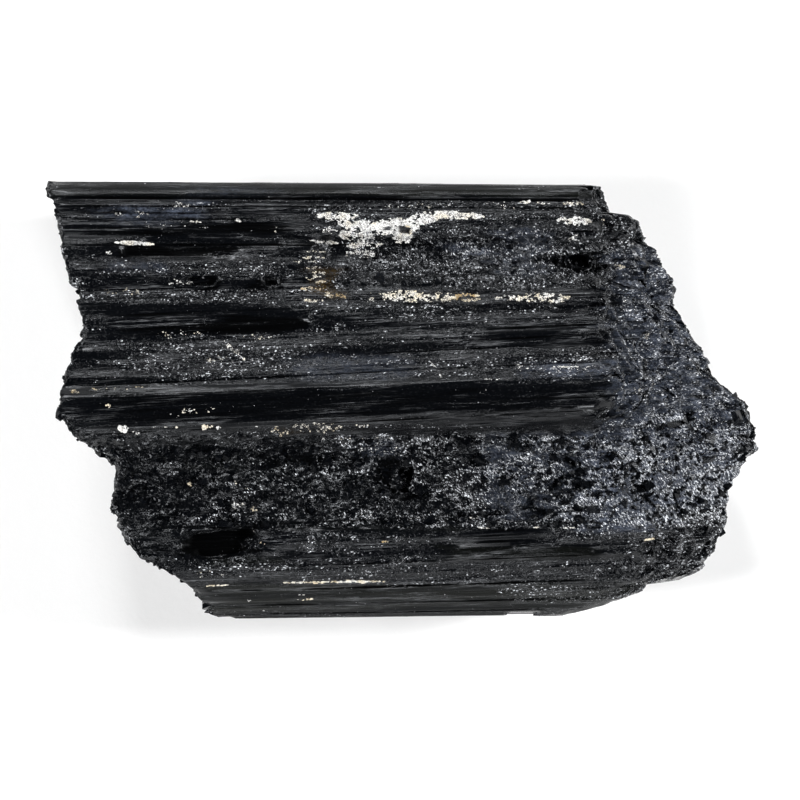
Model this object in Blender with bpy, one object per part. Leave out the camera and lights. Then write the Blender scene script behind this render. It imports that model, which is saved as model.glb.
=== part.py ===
"""A black tourmaline crystal: one natural piece, broken at both ends, lying on its broad back face.

The crystal is a bundle of parallel columns that grew together along X. Each column ends where it broke,
so the outline is stepped. A rough fracture runs along one flank, the right end is a broken slope, and a
shallow scoop marks where some columns split away. +Z points away from the face that it rests on.
Places and sizes below are millimetres, and MM turns them into Blender's metres.
"""

import math
import random
from typing import NamedTuple

import bmesh
import bpy
from mathutils import Vector, geometry, noise

MM = 0.001

# Driving dimensions.
LENGTH = 120.0
WIDTH = 73.6
THICKNESS = 47.0
SEED = 5

NODE_NAME = "tourmaline_crystal"


class Run(NamedTuple):
    """Columns side by side along part of the section across the crystal."""

    corners: list  # (Y, Z) points, in order round the section
    columns: int
    step: float  # the most that a column stands out or in
    rough: float = 0.0  # the most that breakage adds to that


class Recess(NamedTuple):
    """A place where columns split away and left the broad face lower."""

    across: tuple  # X range
    up: tuple  # Y range
    depth: float
    soft_across: tuple  # how gently each end of the X range starts
    soft_up: tuple  # and each end of the Y range


class Pit(NamedTuple):
    """A hollow with steep walls in the broad face."""

    x: float
    y: float
    length: float
    width: float
    depth: float


# The section across the crystal. The broad face runs from its upper edge to its lower one.
BROAD_FACE = [
    Run([(36.6, 30.0), (36.5, 32.8), (35.6, 34.9), (34.2, 35.9)], 3, 0.08),
    Run([(33.9, 34.9), (33.4, 35.9), (23.6, 39.3)], 8, 0.4),
    Run([(23.4, 39.5), (14.0, 42.3)], 7, 0.45),
    Run([(13.8, 42.5), (4.4, 44.7)], 9, 0.26),
    Run([(4.2, 45.0), (2.8, 46.5), (0.2, 46.9), (-2.6, 46.0), (-4.4, 44.4), (-5.6, 42.6)], 5, 0.06),
    Run([(-6.2, 41.0), (-13.0, 38.8), (-21.2, 37.3)], 9, 0.0, 1.0),
    Run([(-21.6, 38.7), (-27.6, 36.4)], 5, 0.6),
    Run([(-27.8, 36.2), (-31.4, 33.7), (-34.4, 29.6), (-36.4, 25.0)], 7, 0.18),
]
LOWER_SIDE = Run([(-36.6, 24.4), (-36.4, 14.0), (-31.6, 5.0), (-24.2, 0.7)], 10, 0.5)
BACK = Run([(-23.6, 0.0), (25.6, 0.0)], 9, 0.0)
UPPER_SIDE = Run([(26.2, 0.7), (32.0, 6.0), (35.6, 13.0), (36.5, 28.0)], 12, 0.5)
BACK_HOLLOWS = {1: 0.7, 3: 0.5, 6: 0.9, 8: 0.6}  # columns of the back that are hollowed, and how deep

# Where the crystal ends at each height Y up the broad face, from its upper edge to its lower one: (Y, X).
LEFT_EDGE = [
    (36.8, -58.6), (35.2, -59.9), (33.0, -60.0), (30.8, -58.5), (26.7, -57.2), (22.7, -55.7),
    (18.6, -54.8), (14.6, -53.9), (12.0, -53.0), (9.5, -54.4), (6.5, -55.7), (2.5, -56.2),
    (-1.0, -57.2), (-4.0, -56.2), (-6.4, -54.0), (-7.6, -51.6), (-8.9, -48.6), (-14.0, -48.0),
    (-17.4, -48.6), (-20.0, -47.6), (-24.0, -45.8), (-26.0, -44.4), (-27.2, -40.8), (-29.8, -36.8),
    (-32.6, -34.6), (-35.2, -33.4), (-36.8, -31.6),
]
RIGHT_EDGE = [
    (36.8, 33.4), (34.0, 34.4), (32.4, 35.2), (31.4, 38.8), (28.6, 41.4), (25.6, 43.0), (22.0, 44.6),
    (19.0, 46.8), (13.6, 48.6), (9.5, 50.2), (5.5, 52.2), (3.0, 54.4), (0.5, 56.8), (-4.6, 59.0),
    (-7.0, 60.0), (-10.0, 58.8), (-12.6, 57.2), (-13.4, 55.0), (-20.0, 54.1), (-25.0, 53.0),
    (-26.4, 52.4), (-29.2, 50.6), (-30.0, 42.4), (-33.0, 41.6), (-34.0, 38.0), (-35.8, 34.0),
    (-36.8, 26.0),
]
# Where the broad face breaks off into the slope at the right end: (Y, X).
RIGHT_BROW = [
    (36.8, 33.0), (32.0, 33.4), (26.0, 34.4), (16.0, 34.6), (8.0, 35.2), (1.0, 37.4), (-5.0, 33.4),
    (-9.0, 34.0), (-16.0, 38.0), (-22.0, 40.6), (-28.0, 42.0), (-32.0, 39.0), (-34.2, 35.6), (-36.8, 26.4),
]
SLOPE_FOOT = 23.0  # Z where that slope turns down into the end
SLOPE_CURVE = 0.8  # under 1, the slope falls steeply at first and then runs out
LEFT_UNDERCUT = 7.0  # how far each end draws in on its way down to the resting face
RIGHT_UNDERCUT = 6.0
UNDERCUT_CURVE = 1.5  # over 1, an end draws in more towards the resting face
LEFT_SPACING = 2.8  # between the corners of the left end's facets
RIGHT_SPACING = 1.9  # and of the right end's
END_TRIES = 2500  # how many places are tried for those corners
COLUMN_GAP = 0.9  # how far one column's end may stop short of the outline
BROKEN_COLUMN = (4.6, 3.7)  # width and height of the columns that show in the broken ends
BROKEN_STEP = 1.5  # how much their ends differ along X

# How far the columns turn about Z, in degrees, at each Y.
YAW = [(36.8, -0.3), (24.0, 0.0), (14.0, 0.6), (2.0, 1.3), (-5.0, 1.3), (-12.0, 0.2), (-36.8, 0.4)]

STEPS_ALONG = 20  # places along each column where it may step
STEP_LENGTH = 0.12  # of the length between them
STEP_CHANCE = 0.13
STEP_SHIFT = 0.3  # how far a step may stray from its place, of the length between them
SHOULDER = 0.14  # of a column's width, that slopes at each side of its flat top
FLAT_ANGLE = 1.2  # degrees: neighbouring facets nearer than this become one

SWELLS = [(1.1, 6.0, 4.2), (0.5, 2.4, 2.4)]  # lumps of the rough flank: height, length, width
JAG = 0.7  # how far the facets of those lumps stray

# The first recess is the scoop.
RECESSES = [
    Recess((-13.8, 34.0), (17.6, 28.4), 3.2, (1.6, 20.0), (7.5, 2.2)),
    Recess((-47.6, -28.0), (23.8, 26.7), 1.3, (1.5, 5.0), (1.2, 0.5)),
    Recess((-58.0, -20.0), (17.2, 19.4), 0.8, (3.0, 6.0), (1.0, 0.6)),
    Recess((-6.0, 40.0), (13.4, 15.6), 0.9, (5.0, 3.0), (1.0, 0.8)),
]
PITS = [
    Pit(-30.6, -23.2, 14.2, 5.2, 3.4),
    Pit(-33.0, 20.2, 6.6, 1.8, 2.4),
    Pit(-21.8, 20.2, 3.6, 2.0, 2.0),
    Pit(30.2, 23.2, 4.0, 2.6, 3.6),
    Pit(1.0, -13.4, 2.6, 5.4, 2.8),
    Pit(39.8, -18.2, 3.6, 4.6, 2.6),
]
PIT_CORNERS = 8
PIT_MOUTH = 1.15  # the mouth's size, of the pit's own
PIT_CLEARANCE = 3.0  # how far a cutter stands above the face
UP_FACING = 0.5  # a line whose outward direction climbs more than this belongs to the broad face


def read_line(line, place):
    """Value at a place on a line of (place, value) points, whose places run downwards."""
    place = max(min(place, line[0][0]), line[-1][0])
    for (above, value_above), (below, value_below) in zip(line, line[1:]):
        if place >= below:
            return value_below + (value_above - value_below) * (place - below) / (above - below)
    return line[-1][1]


def face_height(y):
    """Z of the broad face at Y."""
    corners = [corner for run in BROAD_FACE for corner in run.corners]
    return read_line(corners, y)


def smooth_step(share):
    share = min(max(share, 0.0), 1.0)
    return share * share * (3 - 2 * share)


def within(place, span, soft):
    """1 inside a span and 0 outside it, with a soft border of the given length at each end."""
    return smooth_step((place - span[0]) / soft[0]) * smooth_step((span[1] - place) / soft[1])


def lowered(x, y):
    """How far the recesses lower the broad face at a place."""
    return max(recess.depth * within(x, recess.across, recess.soft_across) * within(y, recess.up, recess.soft_up)
               for recess in RECESSES)


def swell(x, y):
    """How far the lumps of the rough flank stand out, before its finest facets."""
    return sum(height * noise.noise(Vector((x / length, y / width, SEED))) for height, length, width in SWELLS)


def broken_ends(y, z):
    """How far the column at this place in the section stopped short where it broke."""
    wander = noise.noise(Vector((y, z, 0.0)) / BROKEN_COLUMN[0])
    column = Vector((y / BROKEN_COLUMN[0] + wander / 3, z / BROKEN_COLUMN[1], SEED))
    facets = noise.noise(Vector((y, z, SEED)) / RIGHT_SPACING)
    return abs(BROKEN_STEP * (noise.cell(column) * 2 - 1) + 0.6 * BROKEN_STEP * facets)


def left_end(y, z):
    """X of the broken left end at a place in the section."""
    low = max(1 - z / face_height(y), 0.0)
    ragged = broken_ends(y, z) * smooth_step(low * 4)
    return read_line(LEFT_EDGE, y) + LEFT_UNDERCUT * low ** UNDERCUT_CURVE + ragged


def right_end(y, z):
    """X of the broken right end: a slope below the brow, then a steeper face down to the back."""
    outer = read_line(RIGHT_EDGE, y)
    inner = min(read_line(RIGHT_BROW, y), outer)
    high = (z - SLOPE_FOOT) / (face_height(y) - SLOPE_FOOT)
    high = min(max(high, 0.0), 1.0)
    low = max(1 - z / SLOPE_FOOT, 0.0)
    ragged = broken_ends(y, z) * smooth_step(outer - inner)
    return outer - (outer - inner) * high ** SLOPE_CURVE - RIGHT_UNDERCUT * low ** UNDERCUT_CURVE - ragged


def place_on(corners, share):
    """The (Y, Z) a share of the way along a run's corners, and the direction out of the crystal there."""
    points = [Vector(corner) for corner in corners]
    lengths = [(end - start).length for start, end in zip(points, points[1:])]
    left = share * sum(lengths)
    for start, end, length in zip(points, points[1:], lengths):
        if left <= length:
            break
        left -= length
    along = (end - start).normalized()
    return start + along * left, Vector((along.y, -along.x))


def heights_along(run, chance):
    """How far one column stands out, at each place along it where it may step."""
    heights = []
    height = chance.uniform(-run.step, run.step)
    for _ in range(STEPS_ALONG):
        if chance.random() < STEP_CHANCE:
            height = chance.uniform(-run.step, run.step)
        heights.append(height)
    return heights


def hollow_along(depth, chance):
    """The same for a column of the back: flush at first, then hollow, then flush again."""
    half = STEPS_ALONG // 2
    start = chance.randint(0, half)
    end = start + chance.randint(half // 2, half)
    return [-depth if start <= place < end else 0.0 for place in range(STEPS_ALONG)]


def step_shares(chance):
    """Shares of a column's length at which it may change: pairs, with a step between them."""
    shares = [0.0]
    for place in range(1, STEPS_ALONG):
        middle = place + chance.uniform(-STEP_SHIFT, STEP_SHIFT)
        shares += [(middle + side * STEP_LENGTH / 2) / STEPS_ALONG for side in (-1, 1)]
    return shares + [1.0]


def rough_shares(chance):
    """As many shares, scattered evenly, for a line over a rough fracture."""
    last = 2 * STEPS_ALONG - 1
    return [0.0] + [(place + chance.uniform(-STEP_SHIFT, STEP_SHIFT)) / last for place in range(1, last)] + [1.0]


def end_at(end_of, place, lean):
    """X where a line that leans along Y meets one end of the crystal."""
    upright = end_of(place.x, place.y)
    return end_of(place.x + lean * upright, place.y)


def line_along(place, outward, heights, shares, end_gaps, rough, chance):
    """The corners of one line along the crystal."""
    lean = math.tan(math.radians(read_line(YAW, place.x))) if place.y > SLOPE_FOOT else 0.0
    left = end_at(left_end, place, lean) + end_gaps[0]
    right = end_at(right_end, place, lean) - end_gaps[1]
    line = []
    for number, share in enumerate(shares):
        x = left + (right - left) * share
        y = place.x + lean * x
        out = heights[number // 2]
        if rough:
            out += rough * (swell(x, y) + chance.uniform(-JAG, JAG))
        point = Vector((x, y + outward.x * out, place.y + outward.y * out))
        if outward.y > UP_FACING:
            point.z -= lowered(x, y)
        point.z = max(point.z, 0.0)
        line.append(point)
    return line


def lines(chance):
    """Every line along the crystal, in order round its section: two for each column's flat top."""
    found = []
    for run in [*BROAD_FACE, LOWER_SIDE, BACK, UPPER_SIDE]:
        for column in range(run.columns):
            if run is BACK:
                heights = hollow_along(BACK_HOLLOWS.get(column, 0.0), chance)
            else:
                heights = heights_along(run, chance)
            shares = step_shares(chance)
            end_gaps = (chance.uniform(0, COLUMN_GAP), chance.uniform(0, COLUMN_GAP))
            for side in (SHOULDER, 1 - SHOULDER):
                if run.rough:
                    shares = rough_shares(chance)
                place, outward = place_on(run.corners, (column + side) / run.columns)
                found.append(line_along(place, outward, heights, shares, end_gaps, run.rough, chance))
    return found


def is_inside(rim, point):
    """Whether a point lies inside a closed rim, from how far the rim turns as seen from the point."""
    turns = sum((start - point).angle_signed(end - point, 0.0) for start, end in zip(rim, rim[1:] + rim[:1]))
    return abs(turns) > math.pi


def end_points(rim, spacing, chance):
    """Points spread over the inside of a section, for the corners of a broken end's facets."""
    found = []
    for _ in range(END_TRIES):
        point = Vector((chance.uniform(-WIDTH / 2, WIDTH / 2), chance.uniform(0, THICKNESS)))
        near_rim = any((point - corner).length < spacing / 2 for corner in rim)
        near_point = any((point - other).length < spacing * 0.8 for other in found)
        if not near_rim and not near_point and is_inside(rim, point):
            found.append(point)
    return found


def close_end(mesh, ring, end_of, spacing, chance):
    """Fills one end with facets whose corners stand where the broken columns stop."""
    rim = [Vector((vert.co.y, vert.co.z)) for vert in ring]
    flat = rim + end_points(rim, spacing, chance)
    whole = list(range(len(rim)))
    places, _, faces, origins, _, _ = geometry.delaunay_2d_cdt(flat, [], [whole], 1, 1e-5)
    corners = []
    for place, origin in zip(places, origins):
        on_rim = [number for number in origin if number < len(rim)]
        if on_rim:
            corners.append(ring[on_rim[0]])
        else:
            corners.append(mesh.verts.new((end_of(place.x, place.y), place.x, place.y)))
    for face in faces:
        mesh.faces.new([corners[number] for number in face])


def fit_to_size(mesh):
    """Stretches the crystal to its driving dimensions, with its middle on the origin and its back at Z 0."""
    for axis, size in enumerate((LENGTH, WIDTH, THICKNESS)):
        lowest = min(vert.co[axis] for vert in mesh.verts)
        highest = max(vert.co[axis] for vert in mesh.verts)
        start = 0.0 if axis == 2 else -size / 2
        for vert in mesh.verts:
            vert.co[axis] = start + (vert.co[axis] - lowest) * size / (highest - lowest)


def body(chance):
    """The crystal before its pits: lines joined side by side, closed by two broken ends."""
    mesh = bmesh.new()
    grid = [[mesh.verts.new(point) for point in line] for line in lines(chance)]
    for line, beside in zip(grid, grid[1:] + grid[:1]):
        for number in range(len(line) - 1):
            mesh.faces.new((line[number], line[number + 1], beside[number + 1], beside[number]))
    close_end(mesh, [line[0] for line in grid], left_end, LEFT_SPACING, chance)
    close_end(mesh, [line[-1] for line in grid], right_end, RIGHT_SPACING, chance)
    bmesh.ops.recalc_face_normals(mesh, faces=mesh.faces)
    bmesh.ops.dissolve_limit(mesh, angle_limit=math.radians(FLAT_ANGLE), verts=mesh.verts, edges=mesh.edges)
    bmesh.ops.triangulate(mesh, faces=mesh.faces)
    fit_to_size(mesh)
    return mesh


def empty_collection(name):
    collection = bpy.data.collections.new(name)
    bpy.context.scene.collection.children.link(collection)
    return collection


def object_of(mesh, name, collection):
    """Puts a bmesh, whose points are millimetres, into a new object in metres."""
    bmesh.ops.recalc_face_normals(mesh, faces=mesh.faces)
    bmesh.ops.scale(mesh, vec=Vector((MM, MM, MM)), verts=mesh.verts)
    data = bpy.data.meshes.new(name)
    mesh.to_mesh(data)
    mesh.free()
    made = bpy.data.objects.new(name, data)
    collection.objects.link(made)
    return made


def hull(name, points, collection):
    """The convex body with these corners, as a helper that only takes part in a cut."""
    mesh = bmesh.new()
    for point in points:
        mesh.verts.new(point)
    bmesh.ops.convex_hull(mesh, input=mesh.verts)
    inside = [vert for vert in mesh.verts if not vert.link_faces]
    bmesh.ops.delete(mesh, geom=inside, context="VERTS")
    made = object_of(mesh, name, collection)
    made.hide_render = True
    made.display_type = "WIRE"


def pit_cutters(chance, collection):
    """Cutters with uneven walls that narrow downwards."""
    for number, pit in enumerate(PITS, start=1):
        top = face_height(pit.y)
        points = []
        for corner in range(PIT_CORNERS):
            angle = math.tau * (corner + chance.uniform(-STEP_SHIFT, STEP_SHIFT)) / PIT_CORNERS
            to_square = 0.5 / max(abs(math.cos(angle)), abs(math.sin(angle)))
            way = Vector((math.cos(angle) * pit.length, math.sin(angle) * pit.width)) * to_square
            mouth = way * PIT_MOUTH
            floor = way * chance.uniform(0.55, 0.9)
            points.append((pit.x + mouth.x, pit.y + mouth.y, top + PIT_CLEARANCE))
            points.append((pit.x + floor.x, pit.y + floor.y, top - pit.depth * chance.uniform(0.7, 1.0)))
        hull(f"pit_{number}", points, collection)


def cut(made, collection):
    modifier = made.modifiers.new("Cut the pits", "BOOLEAN")
    modifier.operation = "DIFFERENCE"
    modifier.operand_type = "COLLECTION"
    modifier.collection = collection
    modifier.solver = "EXACT"


def black_tourmaline():
    """Opaque black with a faint blue, glassy on fresh faces and satin along the striations."""
    material = bpy.data.materials.new("black_tourmaline")
    material.use_nodes = True
    shader = material.node_tree.nodes["Principled BSDF"]
    shader.inputs["Base Color"].default_value = (0.012, 0.013, 0.015, 1.0)
    shader.inputs["Roughness"].default_value = 0.38
    shader.inputs["Metallic"].default_value = 0.0
    shader.inputs["IOR"].default_value = 1.64
    return material


def clear_scene():
    for old in list(bpy.data.objects):
        bpy.data.objects.remove(old)


def main():
    clear_scene()
    chance = random.Random(SEED)
    part = empty_collection("Tourmaline crystal")
    cutters = empty_collection("Cutters")
    crystal = object_of(body(chance), NODE_NAME, part)
    pit_cutters(chance, cutters)
    cut(crystal, cutters)
    crystal.data.materials.append(black_tourmaline())


main()
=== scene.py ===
"""Dresses a black tourmaline crystal: its striated, broken surface, its loose grains and its pale crusts.

It is laid out as an add-on and run as a script. The crystal lies on its broad back face with its columns
along X, and +Z points away from the face that it rests on. Places and sizes in the tables are millimetres
in the part's own frame, and MM turns them into Blender's metres.
"""

import itertools
import math
from typing import NamedTuple

import bpy
import numpy as np
from bpy.props import FloatProperty, FloatVectorProperty, IntProperty, PointerProperty
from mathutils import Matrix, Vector
from mathutils.bvhtree import BVHTree


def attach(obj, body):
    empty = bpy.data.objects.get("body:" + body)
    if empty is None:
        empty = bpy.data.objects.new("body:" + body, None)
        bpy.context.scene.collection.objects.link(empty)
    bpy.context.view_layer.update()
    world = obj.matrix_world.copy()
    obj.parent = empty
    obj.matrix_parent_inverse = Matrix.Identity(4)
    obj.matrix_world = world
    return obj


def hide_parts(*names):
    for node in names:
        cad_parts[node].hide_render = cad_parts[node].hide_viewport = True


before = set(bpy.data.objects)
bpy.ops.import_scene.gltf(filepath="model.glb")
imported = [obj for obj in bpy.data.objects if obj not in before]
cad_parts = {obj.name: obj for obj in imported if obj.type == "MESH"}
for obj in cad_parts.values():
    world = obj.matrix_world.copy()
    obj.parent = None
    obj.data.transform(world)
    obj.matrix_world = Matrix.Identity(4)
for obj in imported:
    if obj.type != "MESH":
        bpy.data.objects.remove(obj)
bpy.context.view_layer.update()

bl_info = {
    "name": "Black tourmaline crystal",
    "version": (1, 0, 0),
    "blender": (4, 5, 0),
    "location": "3D View > Sidebar > Tourmaline",
    "description": "Builds a black tourmaline crystal's striated and broken surface, its crusts and a stage",
    "category": "Add Mesh",
}

MM = 0.001
NODE = "tourmaline_crystal"
BODY = "root"
SURFACE = "crystal_surface"


class Patch(NamedTuple):
    """A place on the broad face, from left to right and from low to high, where something is stronger."""

    left: float
    right: float
    low: float
    high: float
    amount: float


class Band(NamedTuple):
    """Pale grains grown along a line on the broad face."""

    start: tuple  # (X, Y)
    end: tuple
    width: float
    cover: float  # how much of the band they cover
    grain: float  # width of one grain
    warmth: float  # 0 white, 1 ochre


class Groove(NamedTuple):
    """A line of painted shade between two columns of the broad face."""

    start: float  # X
    end: float
    middle: float  # Y where it crosses the middle of the crystal
    width: float


def rows(kind, *table):
    """A table's plain rows, with their values named."""
    return [kind(*row) for row in table]


# How far the columns of the CAD solid turn about Z, in degrees, at each Y, and how far they turn here.
CAD_YAW = [
    (-36.8, 0.4), (-12.0, 0.2), (-5.0, 1.3), (2.0, 1.3), (14.0, 0.6), (24.0, 0.0), (36.8, -0.3),
]
YAW = [
    (-36.8, 0.8), (-33.0, 1.4), (-29.0, 2.2), (-21.0, 2.3), (-5.0, 2.8), (12.0, 2.8), (19.0, 0.8),
    (26.0, 0.0), (36.8, -0.4),
]
TURN_REACH = (-44.0, 34.0)  # X range over which the columns drift apart from the CAD solid's
# X where the broad face breaks off into the slope at the right end, at each Y.
RIGHT_BROW = [
    (-36.8, 28.0), (-34.2, 38.0), (-32.0, 41.0), (-28.0, 44.0), (-22.0, 42.0), (-16.0, 38.0),
    (-9.0, 34.0), (-5.0, 33.4), (1.0, 37.4), (8.0, 35.2), (16.0, 34.6), (26.0, 34.4), (32.0, 33.4),
    (36.8, 33.0),
]
# Z of that edge, at each Y.
BROW_HEIGHT = [
    (-36.8, 24.0), (-33.0, 31.4), (-30.0, 34.6), (-26.0, 37.0), (-20.0, 38.0), (-10.0, 39.5),
    (-5.0, 43.0), (0.0, 46.6), (10.0, 43.0), (20.0, 39.6), (30.0, 37.2), (36.0, 34.0), (36.8, 25.0),
]
# How far beyond that edge the columns still show, at each Y.
RUN_ON = [
    (-36.8, 2.0), (-33.0, 4.0), (-24.0, 5.5), (-22.0, 3.0), (-20.5, 0.0), (-9.0, 0.5), (-5.0, 5.0),
    (0.0, 6.0), (18.0, 6.5), (25.0, 5.0), (31.0, 3.5), (36.8, 1.0),
]
# X where the broad face starts at the left end, at each Y.
LEFT_EDGE = [
    (-36.8, -31.6), (-32.6, -34.6), (-27.2, -40.8), (-20.0, -47.6), (-14.0, -48.0), (-8.9, -48.6),
    (-6.4, -54.0), (-1.0, -57.2), (6.5, -55.7), (12.0, -53.0), (22.7, -55.7), (30.8, -58.5),
    (36.8, -58.6),
]
# How far the ends reach beyond the CAD solid's, or fall short of them, at each Y.
RIGHT_REACH = [
    (-36.8, 0.3), (-32.5, 0.8), (-31.2, 1.0), (-30.4, 4.2), (-28.8, 3.4), (-27.4, 1.3), (-13.5, 0.9),
    (-12.5, 1.6), (-8.5, 1.4), (-6.0, 0.2), (17.0, 0.1), (18.5, 0.7), (20.0, 0.2), (27.0, 0.2),
    (27.6, 1.0), (29.0, 2.4), (30.4, 3.2), (31.2, 3.0), (31.6, 0.4), (36.8, 0.2),
]
LEFT_REACH = [
    (-36.8, 0.0), (-31.0, 0.8), (-26.0, 0.8), (-24.0, 0.0), (-17.0, -0.5), (-13.0, 0.0), (-11.0, 1.0),
    (-6.0, 1.0), (-3.5, 0.2), (0.0, -0.6), (4.0, -1.1), (10.0, -1.0), (12.5, 0.2), (18.0, 0.0),
    (24.0, -0.4), (27.0, -0.3), (30.0, 0.8), (31.5, 1.8), (32.8, 1.4), (33.6, 0.9), (34.5, -0.1),
    (35.6, -0.4), (36.8, -1.0),
]
FLANK = (-21.6, -5.8)  # Y range of the rough fracture along the crystal
# Other hackly places on the broad face.
HACKLY = rows(
    Patch,
    (-11.0, 30.0, 19.0, 29.0, 0.7), (-16.7, -8.3, -25.7, -22.0, 0.5), (24.0, 38.0, -24.0, -20.0, 0.6),
    (-48.0, -44.0, -30.0, -20.0, 0.8), (-38.5, -24.0, -27.4, -20.2, 0.9),
    (-36.5, -26.5, -26.0, -21.4, -0.9), (34.0, 50.0, -34.0, -26.0, 0.5), (26.5, 37.0, 20.5, 25.8, 0.8),
)

# Hollows in the fractures, sunk into the surface and darkened with painted shade.
HOLLOWS = rows(
    Patch,
    (-2.6, 0.8, -17.2, -9.6, 0.9), (20.0, 24.0, -19.6, -15.8, 0.8), (26.0, 29.8, -17.2, -9.2, 0.7),
    (-23.0, -12.0, -11.0, -7.6, 0.5), (-46.0, -40.0, -18.0, -14.0, 0.5), (10.0, 14.0, -13.0, -8.6, 0.4),
    (28.2, 32.2, 21.5, 24.6, 0.9), (32.8, 36.0, 23.0, 24.8, 0.8), (-40.5, -34.0, -25.8, -23.4, 0.8),
    (-28.0, -22.0, -23.0, -20.6, 0.7),
)

# Places painted deep black: painted shade.
PAINTED_SHADE_PATCHES = rows(
    Patch,
    (-38.0, -33.0, -26.2, -23.6, 1.0), (-34.5, -29.0, -26.2, -22.4, 1.0),
    (-30.5, -25.2, -26.0, -20.9, 1.0), (-35.2, -28.6, 18.4, 20.6, 0.9), (-23.4, -20.4, 17.8, 20.4, 0.9),
    (-28.5, -19.5, 28.2, 30.0, 0.8), (-32.0, -15.0, 11.8, 14.2, 0.8), (-47.0, -29.0, 23.8, 25.9, 0.8),
    (28.0, 32.2, 21.3, 24.6, 0.9), (32.8, 36.0, 23.0, 24.8, 0.8), (-47.0, -18.0, 10.8, 12.4, 0.6),
    (-56.0, -19.0, 27.5, 29.6, 0.55), (-50.0, 30.0, -3.6, 2.4, 0.42),
)

# Fine granular places, and smooth black ones with a negative amount.
GRANULAR = rows(
    Patch,
    (-36.9, -16.7, 21.0, 23.5, 0.6), (-57.1, -16.7, 16.8, 18.5, 0.5), (-47.9, -16.7, 5.0, 10.0, 0.6),
    (-12.0, 34.0, 18.6, 30.0, 0.55), (-0.7, 13.6, 13.0, 15.9, 0.8), (-16.7, 34.0, 30.4, 33.6, 0.5),
    (-33.5, 40.6, -30.1, -27.0, 0.4), (-16.7, -8.3, -25.7, -22.0, 0.9), (1.9, 3.5, -24.5, -22.8, 0.9),
    (17.0, 25.4, -33.8, -31.3, 0.8), (-47.0, -40.3, 21.2, 23.4, 0.5), (-45.0, 34.0, 3.4, 9.0, 0.35),
    (-57.1, -18.4, 27.2, 29.9, -0.9), (-47.9, -28.5, 23.6, 26.0, -0.9), (-47.9, -16.7, 11.2, 15.9, -0.7),
    (-56.8, 37.2, -4.0, 2.6, -0.6), (13.6, 38.4, 9.0, 12.6, -0.6), (-43.6, -25.1, -11.9, -9.4, -0.9),
    (-36.9, -25.1, -26.4, -20.8, -1.0), (-20.1, 12.0, -22.0, -20.8, -0.8),
    (12.0, 22.9, -24.5, -22.0, -0.9), (5.2, 33.9, -27.0, -24.5, -0.9), (-31.8, 17.0, -33.8, -31.3, -0.9),
    (-31.0, 32.2, -35.5, -34.1, -0.9), (-59.8, 32.2, 33.9, 37.0, -0.9), (41.0, 58.0, -8.0, 34.0, 0.55),
    (34.0, 42.0, -5.0, 34.0, 0.3), (36.0, 52.0, -34.0, -22.0, 0.8), (24.0, 42.0, -38.0, -31.0, 0.7),
)
# Satin prism faces, painted lighter than the black: a painted sheen where the lights fall on them.
SATIN_AND_PAINTED_SHEEN = rows(
    Patch,
    (-59.8, 32.2, 34.4, 37.5, 0.8), (-33.0, 44.0, -39.5, -30.9, 1.0), (5.2, 33.9, -27.0, -24.6, 0.7),
    (-20.1, 12.0, -22.0, -20.8, 0.5), (-43.6, -25.1, -11.6, -9.6, 0.5), (-33.0, -20.0, -27.6, -26.4, 0.6),
)
# A blue-grey bloom: partly a film of fine mica dust, partly painted sheen.
HAZE_AND_SHEEN = rows(
    Patch,
    (-47.5, -41.1, 30.2, 32.4, 1.3), (-37.9, -34.7, 30.6, 33.6, 1.4), (-33.5, -23.4, 34.3, 36.3, 0.35),
    (9.4, 13.6, 23.8, 26.2, 0.8), (17.0, 23.8, 21.0, 29.0, 0.45), (41.5, 44.8, 12.6, 18.5, 0.6),
    (38.1, 40.6, -8.5, -4.3, 0.9), (30.5, 45.5, -22.0, -5.5, 0.95), (36.0, 58.0, -18.0, 26.0, 0.95),
    (14.0, 32.0, -20.0, -6.0, 0.5), (42.3, 47.3, -16.9, -13.6, 0.5), (53.2, 55.8, -12.7, -9.4, 0.5),
    (22.9, 33.9, 3.9, 6.2, 0.9), (-7.4, 0.2, -10.0, -6.8, 0.35), (-47.0, -40.3, 21.5, 23.2, 0.4),
    (-17.0, 2.0, 3.4, 7.4, 0.3),
)
# An iron stain.
STAIN = rows(
    Patch,
    (-12.9, -9.6, 17.2, 22.4, 1.0), (-20.9, -18.0, -5.9, -4.4, 0.4),
)

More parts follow.
